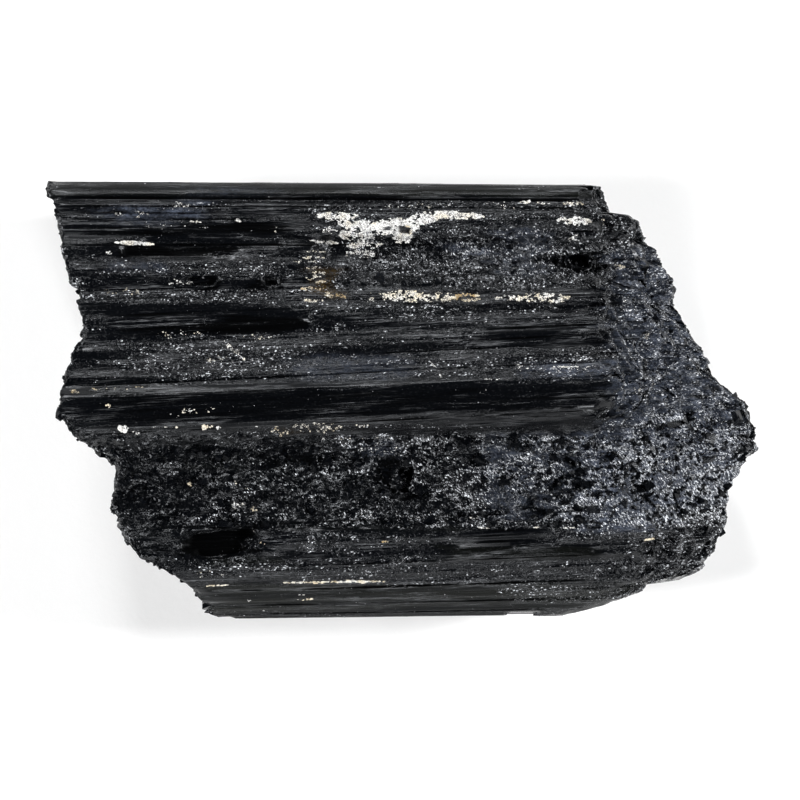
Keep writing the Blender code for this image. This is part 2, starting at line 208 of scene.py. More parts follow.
CRUSTS = rows(
    Band,
    ((-13.8, 31.0), (-6.8, 30.7), 1.5, 1.7, 0.23, 0.22),
    ((-13.2, 28.6), (-10.8, 28.4), 1.3, 0.5, 0.2, 0.1), ((-9.8, 29.6), (-3.0, 28.6), 2.4, 1.6, 0.24, 0.1),
    ((-9.6, 27.8), (-4.6, 27.5), 2.6, 1.1, 0.23, 0.05),
    ((-8.6, 25.9), (-3.4, 26.2), 1.5, 1.0, 0.21, 0.05), ((-9.2, 24.6), (-4.0, 24.5), 1.4, 0.8, 0.2, 0.08),
    ((-4.0, 29.0), (2.4, 29.2), 3.0, 1.8, 0.26, 0.15), ((-1.2, 27.4), (1.6, 27.4), 2.2, 1.5, 0.24, 0.2),
    ((0.2, 28.8), (1.6, 28.2), 1.8, 1.0, 0.27, 0.7), ((1.6, 30.0), (6.8, 31.2), 2.1, 1.7, 0.24, 0.12),
    ((5.0, 31.3), (13.8, 30.9), 1.4, 1.5, 0.23, 0.1), ((-15.0, 26.8), (-10.6, 26.4), 0.8, 1.3, 0.2, 0.1),
    ((-16.7, 24.9), (-12.5, 24.9), 0.4, 0.6, 0.18, 0.3),
    ((-18.4, 23.2), (-13.3, 23.2), 1.0, 0.4, 0.18, 0.3),
    ((-16.7, 18.8), (-12.5, 18.7), 0.8, 0.8, 0.21, 0.8),
    ((-16.2, 16.7), (-12.5, 16.7), 0.7, 0.7, 0.21, 0.6),
    ((-12.5, 17.8), (-8.3, 17.4), 1.3, 0.6, 0.21, 0.75),
    ((-15.6, 20.6), (-12.6, 20.6), 2.2, 0.35, 0.18, 0.6),
    ((-5.6, 17.1), (-1.8, 17.1), 2.2, 0.45, 0.21, 0.4), ((-2.6, 17.5), (4.6, 17.3), 2.1, 1.1, 0.26, 0.35),
    ((4.0, 17.3), (9.0, 17.2), 1.9, 0.95, 0.24, 0.45), ((8.4, 17.3), (13.4, 17.3), 1.8, 0.9, 0.23, 0.8),
    ((16.0, 17.1), (19.8, 17.3), 1.1, 0.6, 0.21, 0.4), ((19.0, 17.2), (28.2, 17.1), 1.9, 1.0, 0.26, 0.3),
    ((-47.8, 26.5), (-41.4, 26.2), 0.7, 2.2, 0.21, 0.1),
    ((-49.2, 24.7), (-48.2, 24.7), 0.8, 0.4, 0.18, 0.2),
    ((20.2, 33.2), (22.3, 33.3), 0.6, 1.2, 0.23, 0.3), ((23.2, 33.2), (25.2, 33.1), 0.5, 1.1, 0.21, 0.3),
    ((27.2, 33.0), (31.2, 33.0), 0.8, 0.9, 0.21, 0.35), ((26.4, 30.2), (31.9, 30.0), 1.5, 1.2, 0.26, 0.1),
    ((28.5, 27.2), (30.8, 27.0), 1.6, 0.7, 0.21, 0.1), ((33.4, 29.8), (34.9, 29.8), 1.3, 0.9, 0.24, 0.45),
    ((36.0, 22.4), (37.7, 22.5), 0.9, 1.0, 0.24, 0.6), ((39.3, 26.4), (41.3, 26.3), 0.5, 0.5, 0.18, 0.2),
    ((37.6, 16.6), (38.4, 16.6), 0.5, 0.9, 0.23, 0.3), ((-31.4, 33.2), (-30.7, 34.0), 0.7, 0.5, 0.2, 0.3),
    ((-35.2, 30.0), (-33.5, 29.9), 0.5, 0.7, 0.2, 0.3),
    ((-27.6, 30.2), (-26.6, 30.2), 0.6, 0.6, 0.2, 0.1),
    ((-20.9, 29.9), (-20.9, 27.2), 0.4, 0.5, 0.18, 0.2),
    ((-50.4, 18.2), (-43.6, 18.2), 2.0, 0.14, 0.21, 0.6),
    ((-38.9, 19.8), (-35.2, 19.7), 1.3, 0.45, 0.18, 0.2),
    ((-42.3, 11.2), (-33.5, 11.0), 2.4, 0.12, 0.2, 0.3),
    ((-27.6, 10.5), (-21.7, 10.5), 1.3, 0.16, 0.2, 0.3),
    ((-29.3, 9.8), (-25.9, 6.6), 1.2, 0.5, 0.18, 0.15), ((-33.5, 6.8), (-26.8, 6.8), 1.8, 0.2, 0.18, 0.2),
    ((-52.1, 1.8), (-43.3, 2.1), 0.7, 0.35, 0.2, 0.6), ((-55.0, 1.5), (-53.8, 1.2), 0.9, 0.5, 0.21, 0.6),
    ((-49.2, -0.9), (-48.2, -0.9), 0.7, 0.9, 0.26, 0.55),
    ((-39.4, -2.4), (-30.2, -1.4), 1.3, 0.22, 0.2, 0.25),
    ((-44.9, -5.4), (-43.8, -5.6), 0.7, 0.8, 0.26, 0.15),
    ((-21.4, -5.1), (-19.0, -5.6), 1.8, 0.45, 0.21, 0.75),
    ((-18.2, -4.5), (-9.6, -4.7), 1.8, 0.5, 0.2, 0.5), ((-7.4, -4.3), (-4.9, -4.3), 0.7, 0.6, 0.2, 0.3),
    ((-7.4, -8.5), (0.2, -8.3), 2.6, 0.18, 0.2, 0.0),
    ((-28.0, -17.9), (-26.3, -17.6), 1.7, 0.8, 0.26, 0.2),
    ((-25.1, -18.2), (-24.2, -18.4), 0.9, 0.6, 0.23, 0.6),
    ((0.2, -13.4), (0.9, -16.9), 0.4, 0.6, 0.21, 0.1),
    ((-34.4, -29.2), (-29.3, -29.1), 1.5, 0.2, 0.2, 0.4),
    ((-24.8, -22.0), (-22.4, -25.0), 0.9, 0.35, 0.2, 0.5),
    ((22.9, 5.0), (33.9, 5.4), 1.4, 0.2, 0.18, 0.0), ((19.5, 5.6), (21.2, 5.4), 1.2, 0.4, 0.18, 0.0),
    ((5.2, 6.3), (6.9, 3.8), 0.6, 0.6, 0.2, 0.0), ((13.3, 1.1), (16.0, 1.6), 0.8, 0.4, 0.18, 0.0),
    ((13.6, 3.5), (17.0, 3.5), 0.4, 0.5, 0.18, 0.0), ((38.9, 1.8), (44.0, 1.4), 3.2, 0.12, 0.21, 0.2),
    ((42.3, -10.2), (44.8, -10.2), 3.0, 0.16, 0.21, 0.1),
    ((34.7, -6.8), (37.2, -6.8), 1.6, 0.14, 0.2, 0.1), ((40.2, 11.2), (42.2, 10.6), 1.5, 0.2, 0.2, 0.2),
    ((-10.0, -19.6), (6.0, -19.0), 2.2, 0.12, 0.21, 0.1),
    ((11.0, -19.8), (14.0, -19.6), 1.4, 0.25, 0.21, 0.2),
    ((-47.5, 31.4), (-41.1, 31.2), 1.9, 0.16, 0.16, 0.15),
    ((-37.9, 32.8), (-34.9, 32.0), 2.2, 0.2, 0.16, 0.1),
    ((-46.0, 29.4), (-30.0, 29.4), 1.6, 0.06, 0.18, 0.1),
    ((-16.2, 23.9), (-12.8, 23.9), 0.5, 0.9, 0.18, 0.4),
    ((-16.0, 22.2), (-13.0, 22.3), 0.45, 0.8, 0.18, 0.5),
    ((-14.8, 21.4), (-12.6, 21.4), 0.4, 0.9, 0.18, 0.7),
    ((-14.6, 19.8), (-12.6, 19.9), 0.5, 0.8, 0.18, 0.75),
    ((14.0, 33.0), (20.0, 32.0), 2.0, 0.12, 0.18, 0.1),
    ((-4.0, 32.6), (10.0, 32.6), 1.4, 0.12, 0.18, 0.1),
)
# Single grains of feldspar: larger, and few together.
GRAINS = rows(
    Band,
    ((-46.9, -4.8), (-45.6, -4.8), 1.3, 1.2, 0.8, 0.05),
    ((-38.1, -4.5), (-37.4, -4.5), 0.4, 1.0, 0.45, 0.2),
    ((-32.8, -4.5), (-31.7, -4.4), 0.7, 1.5, 0.6, 0.35),
    ((-30.7, -4.5), (-29.9, -4.5), 0.5, 1.3, 0.5, 0.25),
    ((-35.3, -14.2), (-34.9, -15.2), 0.8, 1.1, 0.6, 0.7),
    ((-28.2, -13.5), (-27.4, -13.9), 0.7, 0.8, 0.5, 0.4),
    ((-26.3, -15.2), (-25.7, -14.9), 0.7, 0.8, 0.5, 0.4),
    ((-3.0, -24.0), (-1.9, -23.9), 0.6, 1.3, 0.55, 0.7),
    ((-27.0, -17.4), (-26.6, -18.2), 0.7, 0.8, 0.5, 0.1), ((0.3, 28.4), (1.4, 28.8), 1.2, 0.6, 0.6, 0.7),
    ((27.2, 30.2), (31.0, 30.0), 1.0, 0.4, 0.5, 0.1), ((-1.6, 17.4), (12.0, 17.2), 1.2, 0.16, 0.5, 0.5),
)
# Thin strips of feldspar between two columns.
VEINS = rows(
    Band,
    ((-20.1, -30.7), (-2.4, -30.5), 0.32, 1.7, 0.4, 0.5),
    ((-9.9, -30.55), (-5.7, -30.5), 0.55, 1.5, 0.4, 0.5),
    ((-32.9, -31.3), (-28.8, -31.1), 0.26, 1.7, 0.34, 0.55),
    ((-17.4, -33.6), (-14.7, -33.5), 0.3, 1.5, 0.34, 0.5),
    ((-17.3, -32.8), (-16.2, -32.8), 0.26, 1.1, 0.3, 0.3),
    ((39.8, -23.5), (42.8, -23.3), 0.4, 1.2, 0.34, 0.7),
    ((-29.3, -4.5), (-19.2, -4.5), 0.24, 0.35, 0.28, 0.3),
    ((-18.4, -6.5), (0.2, -6.4), 0.4, 0.3, 0.26, 0.2),
    ((12.8, -21.5), (15.0, -21.5), 0.26, 0.9, 0.28, 0.1),
    ((21.2, -21.5), (23.3, -21.4), 0.3, 0.9, 0.28, 0.1),
    ((27.5, -21.5), (29.7, -21.5), 0.26, 0.9, 0.28, 0.1),
    ((-26.5, -33.8), (-24.6, -33.7), 0.3, 0.6, 0.28, 0.1),
    ((-25.1, -35.6), (-20.9, -35.5), 0.24, 0.3, 0.28, 0.2),
    ((25.4, 5.5), (32.2, 5.6), 0.26, 0.8, 0.26, 0.0),
    ((-43.6, -4.6), (-38.4, -4.5), 0.24, 0.3, 0.24, 0.3),
)

# Lines of painted shade between the columns.
GROOVES = rows(
    Groove,
    (-33.0, 34.0, -31.35, 0.34), (-33.0, 36.0, -34.1, 0.3), (-30.0, 34.0, -35.75, 0.24),
    (11.0, 24.0, -22.6, 0.3), (9.0, 22.0, -23.4, 0.26), (11.0, 23.0, -24.4, 0.3),
    (-20.0, 34.0, -27.3, 0.2), (-59.0, 32.0, 33.75, 0.3), (-57.0, 33.0, 32.4, 0.24),
    (-57.0, -20.0, 30.3, 0.26), (-57.0, -28.0, 31.3, 0.2), (-57.0, 10.0, 26.1, 0.3),
    (13.0, 44.0, 11.2, 0.3), (13.0, 44.0, 9.4, 0.26), (-48.0, -16.0, 13.1, 0.24), (33.0, 42.0, 20.0, 0.4),
    (-57.0, 36.0, 4.9, 0.2), (-56.0, 36.0, -3.3, 0.24), (-50.0, -18.0, 15.9, 0.24),
    (-40.0, 34.0, -19.9, 0.24), (-10.0, 40.0, 8.0, 0.16), (24.0, 43.0, 17.0, 0.2),
    (27.0, 45.0, 14.2, 0.24), (26.0, 44.0, 6.2, 0.22), (22.0, 42.0, 2.4, 0.26), (20.0, 43.0, -1.0, 0.24),
    (30.0, 51.0, -25.4, 0.24), (32.0, 50.0, -29.2, 0.22), (28.0, 46.0, -32.6, 0.24),
    (24.0, 42.0, 23.6, 0.26), (22.0, 40.0, 28.4, 0.24),
)
END_COLUMN = (2.4, 1.4)  # width and height of the columns that show where the crystal broke
BLOCK_WIDTH = 1.5  # width of the blocks that step down the slope at the right end
BLOCK_DROP = 3.0  # how far one such block lies below the next
BLOCK_RISE = 0.7  # the most that a block stands above the slope
BLOCKS_FROM = -9.0  # Y above which the slope is stepped
BLOCKS_BELOW = -22.0  # Y below which it is stepped too
SLOPE_CALM = 0.65  # how much shallower the fracture is on the slope than on the flank
FLAKE_TURN = math.radians(58)  # how far the flakes on the fractures slant from the columns
ABOVE = 100.0  # a height that clears the crystal, to look down from
FRONT_FROM = 20.0  # Z above which the broad face lies
EVEN_DROP = 1.4  # height over which the surface settles onto the flat resting face
GROOVE_FADE = 6.0  # length over which a groove fades in and out
BORDER_WAVE = (3.4, 0.9)  # length and width of the waves in the border of a patch
BORDER_SWING = (3.2, 0.35)  # how far they swing it along X and along Y
SIDE_EASE = 3  # how many times softer a patch's left and right borders are than its low and high ones
PAINTED_SHADE_BLACK = (0.0003, 0.0003, 0.0003)  # painted shade: the colour put in the deepest grooves, the hollows and the deep black places
TOURMALINE_IOR = 1.64
TOURMALINE_SPECULAR = 0.13
TOURMALINE_TINT = (0.93, 0.96, 1.0, 1.0)
MICA_IOR = 1.59
FELDSPAR_IOR = 1.53
FLOOR_STEPS = 8  # squares along each side of the floor
# The way towards each soft light.
LIGHTS = {
    "key": (-0.15, 0.87, 0.46),
    "fill": (0.2, -0.87, 0.45),
    "right": (0.78, 0.13, 0.62),
    "left": (-0.78, -0.1, 0.62),
}
SHARD_CORNERS = 4
GLINT_CORNERS = 3
CRUST_CLUMP = (0.8, 0.44)  # length and width of the clumps that the grains of a band grow in
CRUST_GAP = (0.32, 0.22)  # length and width of the gaps between them


# ---------------------------------------------------------------- numbers


def smooth(low, high, value):
    """0 below low, 1 above high, and a soft step between them."""
    share = np.clip((value - low) / (high - low), 0.0, 1.0)
    return share * share * (3 - 2 * share)


def dice(cells, seed):
    """A fixed number from 0 to 1 for each cell of whole numbers."""
    mixed = np.full(cells.shape[:-1], (seed * 2654435761 + 97) % 2**32, np.uint32)
    for axis in range(cells.shape[-1]):
        mixed = (mixed ^ cells[..., axis].astype(np.uint32)) * np.uint32(0x9E3779B1)
        mixed ^= mixed >> np.uint32(15)
    mixed = mixed * np.uint32(0x85EBCA6B)
    mixed ^= mixed >> np.uint32(13)
    return mixed / 2.0**32


def ripple(points, seed):
    """Smooth noise from -1 to 1 over unit cells."""
    low = np.floor(points)
    share = points - low
    share = share * share * (3 - 2 * share)
    low = low.astype(np.int64)
    total = np.zeros(len(points))
    for corner in itertools.product((0, 1), repeat=points.shape[1]):
        weight = np.prod(np.where(corner, share, 1 - share), axis=1)
        total += weight * dice(low + corner, seed)
    return total * 2 - 1


def shards(points, seed):
    """The cell of the nearest scattered centre, the way from it, and how much further the next one is."""
    base = np.floor(points).astype(np.int64)
    nearest = np.full(len(points), 1e9)
    second = nearest.copy()
    home = base.copy()
    way = np.zeros_like(points)
    for step in itertools.product((-1, 0, 1), repeat=points.shape[1]):
        cell = base + step
        gap = points - cell
        for axis in range(points.shape[1]):
            gap[:, axis] -= dice(cell, seed + axis)
        far = np.einsum("ij,ij->i", gap, gap)
        closer = far < nearest
        second = np.where(closer, nearest, np.minimum(second, far))
        nearest = np.where(closer, far, nearest)
        home[closer] = cell[closer]
        way[closer] = gap[closer]
    return home, way, np.sqrt(second) - np.sqrt(nearest)


def facets(points, tilt, seed):
    """Height of a hackly fracture over unit cells: flat facets at odd heights that tilt every way."""
    home, way, _ = shards(points, seed)
    height = dice(home, seed + 7) - 0.5
    for axis in range(3):
        height += tilt * (dice(home, seed + 11 + axis) - 0.5) * way[:, axis]
    return height


def read_line(line, places):
    """The value of a line of (place, value) pairs at each place."""
    return np.interp(places, *zip(*line))


def windows(table, x, y, soft):
    """The sum of the amounts of the patches at each place, with ragged, soft borders."""
    wander = np.column_stack([x, y]) / BORDER_WAVE
    x = x + BORDER_SWING[0] * ripple(wander, 41)
    y = y + BORDER_SWING[1] * ripple(wander, 42)
    ease = SIDE_EASE * soft
    total = np.zeros(len(x))
    for patch in table:
        across = smooth(-ease, ease, x - patch.left) * smooth(-ease, ease, patch.right - x)
        up = smooth(-soft, soft, y - patch.low) * smooth(-soft, soft, patch.high - y)
        total += patch.amount * across * up
    return total


# ---------------------------------------------------------------- where each kind of surface lies


def lean_of(points, yaw=YAW):
    """How far each column has drifted along Y, so that Y less this is the same all along it."""
    turn = np.tan(np.radians(read_line(yaw, points[:, 1])))
    return turn * points[:, 0] * smooth(FRONT_FROM - 4, FRONT_FROM + 4, points[:, 2])


def sunk_below(points):
    """How far the slope at the right end lies below the broad face, so that the columns run on down it."""
    x, y, z = points.T
    beyond = smooth(-3.0, 1.0, x - read_line(RIGHT_BROW, y)) * smooth(FRONT_FROM - 4, FRONT_FROM + 2, z)
    return (read_line(BROW_HEIGHT, y) - z) * beyond


def turned(points):
    """Turns the columns of the broad face from the CAD solid's yaw to their own."""
    held = points.copy()
    held[:, 0] = np.clip(points[:, 0], *TURN_REACH)
    moved = points.copy()
    moved[:, 1] += lean_of(held) - lean_of(held, CAD_YAW)
    return moved


def stepped(points, normals):
    """Breaks the slope at the right end into blocks, each one column wide, that end at odd places."""
    x, y, z = points.T
    column, _, _ = shards(((y - lean_of(points)) / BLOCK_WIDTH)[:, None], 401)
    drop = BLOCK_DROP * (0.6 + 0.8 * dice(column, 402))
    level = (z + 0.1 * ripple(points / 1.2, 404)) / drop + 9 * dice(column, 403)
    tread = np.floor(level) + smooth(0.42, 0.58, level % 1)
    share = smooth(-4.0, 0.0, x - read_line(RIGHT_BROW, y) + 2 * ripple(column, 405))
    share *= smooth(BLOCKS_FROM - 2, BLOCKS_FROM + 2, y) + smooth(-BLOCKS_BELOW - 2, -BLOCKS_BELOW + 2, -y)
    share *= smooth(0.2, 0.5, normals[:, 2]) * smooth(EVEN_DROP, 4 * EVEN_DROP, z)
    moved = points.copy()
    moved[:, 2] += share * np.minimum(drop * (tread - level), BLOCK_RISE)
    return moved


def reached(points):
    """Moves the two ends out or in, each column its own way."""
    x, y, _ = points.T
    right = smooth(-4.0, 0.0, x - read_line(RIGHT_BROW, y))
    left = 1 - smooth(-2.0, 4.0, x - read_line(LEFT_EDGE, y))
    moved = points.copy()
    moved[:, 0] += right * read_line(RIGHT_REACH, y) + left * read_line(LEFT_REACH, y)
    return moved


def is_front(points, normals):
    """1 on the broad face, and 0 on the sides and underneath."""
    return smooth(0.25, 0.6, normals[:, 2]) * smooth(FRONT_FROM - 2, FRONT_FROM + 2, points[:, 2])


def broken_share(points, normals):
    """1 on hackly fractures: the flank, the slope at the right end and both ends. 0 on the columns."""
    x, y, z = points.T
    ragged = ripple(points / (3.0, 1.4, 3.0), 51)
    front = is_front(points, normals)
    flank = smooth(FLANK[0] - 0.3, FLANK[0] + 0.5, y + 0.5 * ragged)
    flank *= smooth(-FLANK[1] - 0.3, -FLANK[1] + 0.5, -y + 0.5 * ragged) * front
    hackly = smooth(FLANK[0] - 2, FLANK[0] + 2, y) * smooth(-FLANK[1] - 6, -FLANK[1] - 1, -y)
    slope = smooth(-0.6, 2.4, x - read_line(RIGHT_BROW, y) - read_line(RUN_ON, y) + 2.4 * ragged)
    slope *= 0.35 + 0.65 * hackly
    start = smooth(-1.2, 0.6, read_line(LEFT_EDGE, y) - x + 1.2 * ragged)
    ends = smooth(0.45, 0.75, np.abs(normals[:, 0])) * (1 - 0.75 * smooth(0.1, 0.45, normals[:, 2]))
    others = np.clip(windows(HACKLY, x, y, 0.8), 0, 1) * front
    return np.maximum.reduce([flank, slope, start, ends, others])


def glitter(points):
    """How much a fracture sparkles: least in its hollows and at the left, and most on the right slope."""
    x, y, _ = points.T
    along = smooth(-60.0, 55.0, x + 14 * ripple(points / (9.0, 5.0, 9.0), 63)) * 0.83 + 0.17
    return np.clip(along - windows(HOLLOWS, x, y, 0.6), 0, 1)


def granular_share(points, normals, broken):
    """1 where the columns are etched into fine grains, 0 or less where they are smooth and glassy."""
    x, y, z = points.T
    along = np.column_stack([x / 11.0, (y - lean_of(points)) / 1.1, z / 1.6])
    spread = 0.28 + 0.55 * ripple(along, 61) + 0.2 * ripple(points / (2.2, 0.8, 0.8), 62)
    spread += windows(GRANULAR, x, y, 0.5) * is_front(points, normals)
    return np.clip(spread, -0.5, 1) * (1 - broken) + broken * glitter(points)


# ---------------------------------------------------------------- the crystal's own surface


def mesh_points(mesh, kind="co"):
    """Where a mesh's points are, or their normals."""
    found = np.empty(len(mesh.vertices) * 3)
    if kind == "co":
        mesh.vertices.foreach_get("co", found)
    else:
        mesh.vertex_normals.foreach_get("vector", found)
    return found.reshape(-1, 3)


def put_points(mesh, points):
    mesh.vertices.foreach_set("co", points.ravel())
    mesh.update()


def with_modifier(made, kind, **settings):
    """Gives the object one modifier, and keeps its result as the object's mesh."""
    modifier = made.modifiers.new(kind.title(), kind)
    for name, value in settings.items():
        setattr(modifier, name, value)
    graph = bpy.context.evaluated_depsgraph_get()
    result = bpy.data.meshes.new_from_object(made.evaluated_get(graph))
    old = made.data
    made.modifiers.clear()
    made.data = result
    bpy.data.meshes.remove(old)


def column_heights(points, settings):
    """How far the columns stand out or in, with grooves between them, at three widths."""
    section = points.copy()
    section[:, 1] -= lean_of(points)
    section[:, 2] += sunk_below(points)
    height = np.zeros(len(points))
    for number, (share, length) in enumerate(((1.0, 55.0), (0.5, 38.0), (0.3, 21.0))):
        width = settings.column_width * share / MM
        home, _, gap = shards(section[:, 1:] / width, 100 + 10 * number)
        jag = 0.5 * ripple(points / 0.9, 105 + 10 * number)
        reach = np.floor((points[:, 0] + jag) / length + dice(home, 104 + 10 * number) * 9)
        stand = dice(np.column_stack([home, reach.astype(np.int64)]), 106 + 10 * number) * 2 - 1
        groove = 1 - smooth(0.0, 0.3, gap)
        height += settings.column_step * share / MM * (stand - 0.7 * groove)
    return height


def fracture_heights(points, settings):
    """A hackly fracture: large facets with smaller ones on them and a fine crumb."""
    bent = points + 0.35 * np.column_stack([ripple(points / 1.3, 201 + axis) for axis in range(3)])
    width = settings.fracture_width / MM
    height = facets(bent / (1.15 * width, width, width), 1.6, 210)
    height += 0.36 * facets(bent / (0.5 * width, 0.42 * width, 0.42 * width), 1.8, 240)
    height += 0.1 * ripple(points / 0.5, 205)
    return settings.fracture_depth / MM * height


def end_steps(points, settings):
    """How far each small column stopped short where it broke."""
    depth = np.zeros(len(points))
    for seed, share in ((301, 1.0), (321, 0.45)):
        home, _, _ = shards(points[:, 1:] / (share * np.array(END_COLUMN)), seed)
        depth += share * (dice(home, seed + 5) - 0.4)
    return settings.end_step / MM * depth


def roughen(mesh, settings):
    """Moves the surface in and out, and leaves the resting face flat."""
    points, normals = mesh_points(mesh), mesh_points(mesh, "normal")
    broken = broken_share(points, normals)
    granular = np.maximum(granular_share(points, normals, broken), 0)
    calm = 0.2 + 0.8 * granular
    out = column_heights(points, settings) * calm * (1 - 0.75 * broken)
    ends = broken * smooth(0.2, 0.5, np.abs(normals[:, 0])) * (1 - 0.8 * smooth(0.2, 0.5, normals[:, 2]))
    points[:, 0] -= np.sign(normals[:, 0]) * ends * end_steps(points, settings)
    rough = broken > 0.01
    hewn = broken * (1 - SLOPE_CALM * smooth(-1.0, 4.0, points[:, 0] - read_line(RIGHT_BROW, points[:, 1])))
    out[rough] += hewn[rough] * fracture_heights(points[rough], settings)
    sunk = np.clip(windows(HOLLOWS, points[:, 0], points[:, 1], 0.9), 0, 1) * is_front(points, normals)
    out -= settings.hollow_depth / MM * sunk
    crumb = ripple(points / (0.7, 0.36, 0.36), 71) + 0.6 * ripple(points / (0.4, 0.25, 0.25), 72)
    out += 0.05 * granular * crumb
    out *= smooth(0.0, EVEN_DROP, points[:, 2])
    points += normals * out[:, None]
    points[:, 2] = np.maximum(points[:, 2], 0.0)
    put_points(mesh, points)


def put_attribute(mesh, name, values):
    mesh.attributes.new(name, "FLOAT", "POINT").data.foreach_set("value", values.astype(np.float32))


def mark_surface(mesh):
    """Stores where each kind of surface lies, for the material to read."""
    points, normals = mesh_points(mesh), mesh_points(mesh, "normal")
    x, y, z = points.T
    front = is_front(points, normals)
    edge = smooth(FRONT_FROM, FRONT_FROM + 6, z)
    broken = broken_share(points, normals)
    put_attribute(mesh, "lean", lean_of(points))
    put_attribute(mesh, "sunk", sunk_below(points))
    put_attribute(mesh, "broken", broken)
    put_attribute(mesh, "granular", granular_share(points, normals, broken))
    # Painted sheen: the satin prism faces get a lighter colour.
    put_attribute(mesh, "satin", np.clip(windows(SATIN_AND_PAINTED_SHEEN, x, y, 0.3), 0, 1) * edge)
    # Painted sheen, with a film of fine mica dust: the blue-grey bloom.
    put_attribute(mesh, "haze", np.clip(windows(HAZE_AND_SHEEN, x, y, 0.8), 0, 1) * front)
    # Painted shade: the hollows and the deep black places are painted darker.
    hollow = windows(HOLLOWS, x, y, 0.6) * broken + windows(PAINTED_SHADE_PATCHES, x, y, 0.4)
    put_attribute(mesh, "hollow", np.clip(hollow, 0, 1) * front)
    put_attribute(mesh, "stain", np.clip(windows(STAIN, x, y, 0.4), 0, 1) * front)


def grown_surface(settings):
    """A finer copy of the CAD solid, broken and striated, in metres."""
    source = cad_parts[NODE]
    made = bpy.data.objects.new(SURFACE, source.data.copy())
    bpy.context.scene.collection.objects.link(made)
    made.data.materials.clear()
    voxel = settings.voxel * 1
    put_points(made.data, mesh_points(made.data) / MM)
    with_modifier(made, "REMESH", mode="VOXEL", voxel_size=voxel / MM)
    with_modifier(made, "SMOOTH", factor=0.5, iterations=8)
    put_points(made.data, reached(turned(mesh_points(made.data))))
    put_points(made.data, stepped(mesh_points(made.data), mesh_points(made.data, "normal")))
    roughen(made.data, settings)
    made.data.calc_loop_triangles()
    ratio = min(settings.triangles / len(made.data.loop_triangles), 1.0)
    with_modifier(made, "DECIMATE", ratio=ratio)
    mark_surface(made.data)
    put_points(made.data, mesh_points(made.data) * MM)
    made.data.shade_smooth()
    made.data.set_sharp_from_angle(angle=settings.crease)
    made.data.update()
    return made


# ---------------------------------------------------------------- loose grains and crusts


def surface_triangles():
    """The crystal surface's points, in millimetres, and its triangles."""
    mesh = bpy.data.objects[SURFACE].data
    points = mesh_points(mesh) / MM
    mesh.calc_loop_triangles()
    triangles = np.empty(len(mesh.loop_triangles) * 3, np.int32)
    mesh.loop_triangles.foreach_get("vertices", triangles)
    triangles = triangles.reshape(-1, 3)
    return points, triangles


def dropped(places):
    """Where places (X, Y) meet the broad face from above: points, normals and which places do."""
    points, triangles = surface_triangles()
    tree = BVHTree.FromPolygons(points.tolist(), triangles.tolist())
    hits, normals, met = [], [], []
    for number, (x, y) in enumerate(places):
        hit, normal, _, _ = tree.ray_cast(Vector((x, y, ABOVE)), Vector((0, 0, -1)))
        if hit is not None and hit.z > FRONT_FROM:
            hits.append(hit)
            normals.append(normal)
            met.append(number)
    return np.array(hits), np.array(normals), met


def spread(count, weigh, chance):
    """Points all over the surface, with their normals. weigh gives each triangle's share by place."""
    points, triangles = surface_triangles()
    corners = points[triangles]
    across = np.cross(corners[:, 1] - corners[:, 0], corners[:, 2] - corners[:, 0])
    area = np.linalg.norm(across, axis=1) + 1e-12
    normals = across / area[:, None]
    weight = area * weigh(corners.mean(axis=1), normals)
    chosen = chance.choice(len(triangles), count, p=weight / weight.sum())
    shares = np.sort(chance.random((count, 2)), axis=1)
    parts = np.column_stack([shares[:, 0], shares[:, 1] - shares[:, 0], 1 - shares[:, 1]])
    return np.einsum("ij,ijk->ik", parts, corners[chosen]), normals[chosen]


def unit(ways):
    """Ways of length 1."""
    return ways / np.linalg.norm(ways, axis=1)[:, None]


def lumps(name, centres, normals, widths, stretch, rise, corners, chance):
    """One mesh of low, angular lumps: a sunken base and a smaller, uneven top."""
    count = len(centres)
    side = unit(np.cross(normals, (1.0, 0.001, 0.002)))
    along = np.cross(side, normals)
    turns = (np.arange(corners) + chance.uniform(-0.3, 0.3, (count, corners))) * math.tau / corners
    turns += chance.uniform(0, math.tau, (count, 1))
    radii = widths[:, None] / 2 * chance.uniform(0.75, 1.2, (count, corners))
    ring = along[:, None] * (np.cos(turns) * radii * stretch)[..., None]
    ring += side[:, None] * (np.sin(turns) * radii / stretch)[..., None]
    lift = widths[:, None] * chance.uniform(0.1, 1.0, (count, corners)) * rise
    top = ring * chance.uniform(0.4, 0.8, (count, 1, 1)) + normals[:, None] * lift[..., None]
    base = ring - normals[:, None] * (widths * 0.3)[:, None, None]
    points = np.concatenate([base, top], axis=1) + centres[:, None]
    faces = []
    for number in range(corners):
        after = (number + 1) % corners
        faces.append((number, after, corners + after, corners + number))
    solid = [tuple(reversed(range(corners))), *faces]
    solid += [(corners, corners + number, corners + number + 1) for number in range(1, corners - 1)]
    every = []
    for start in range(0, count * 2 * corners, 2 * corners):
        every += [tuple(start + corner for corner in face) for face in solid]
    mesh = bpy.data.meshes.new(name)
    mesh.from_pydata((points.reshape(-1, 3) * MM).tolist(), [], every)
    made = bpy.data.objects.new(name, mesh)
    bpy.context.scene.collection.objects.link(made)
    return made


def tone_lumps(made, tones, corners):
    """Gives each lump its own tone, from 0 to 1."""
    put_attribute(made.data, "tone", np.repeat(tones, 2 * corners))


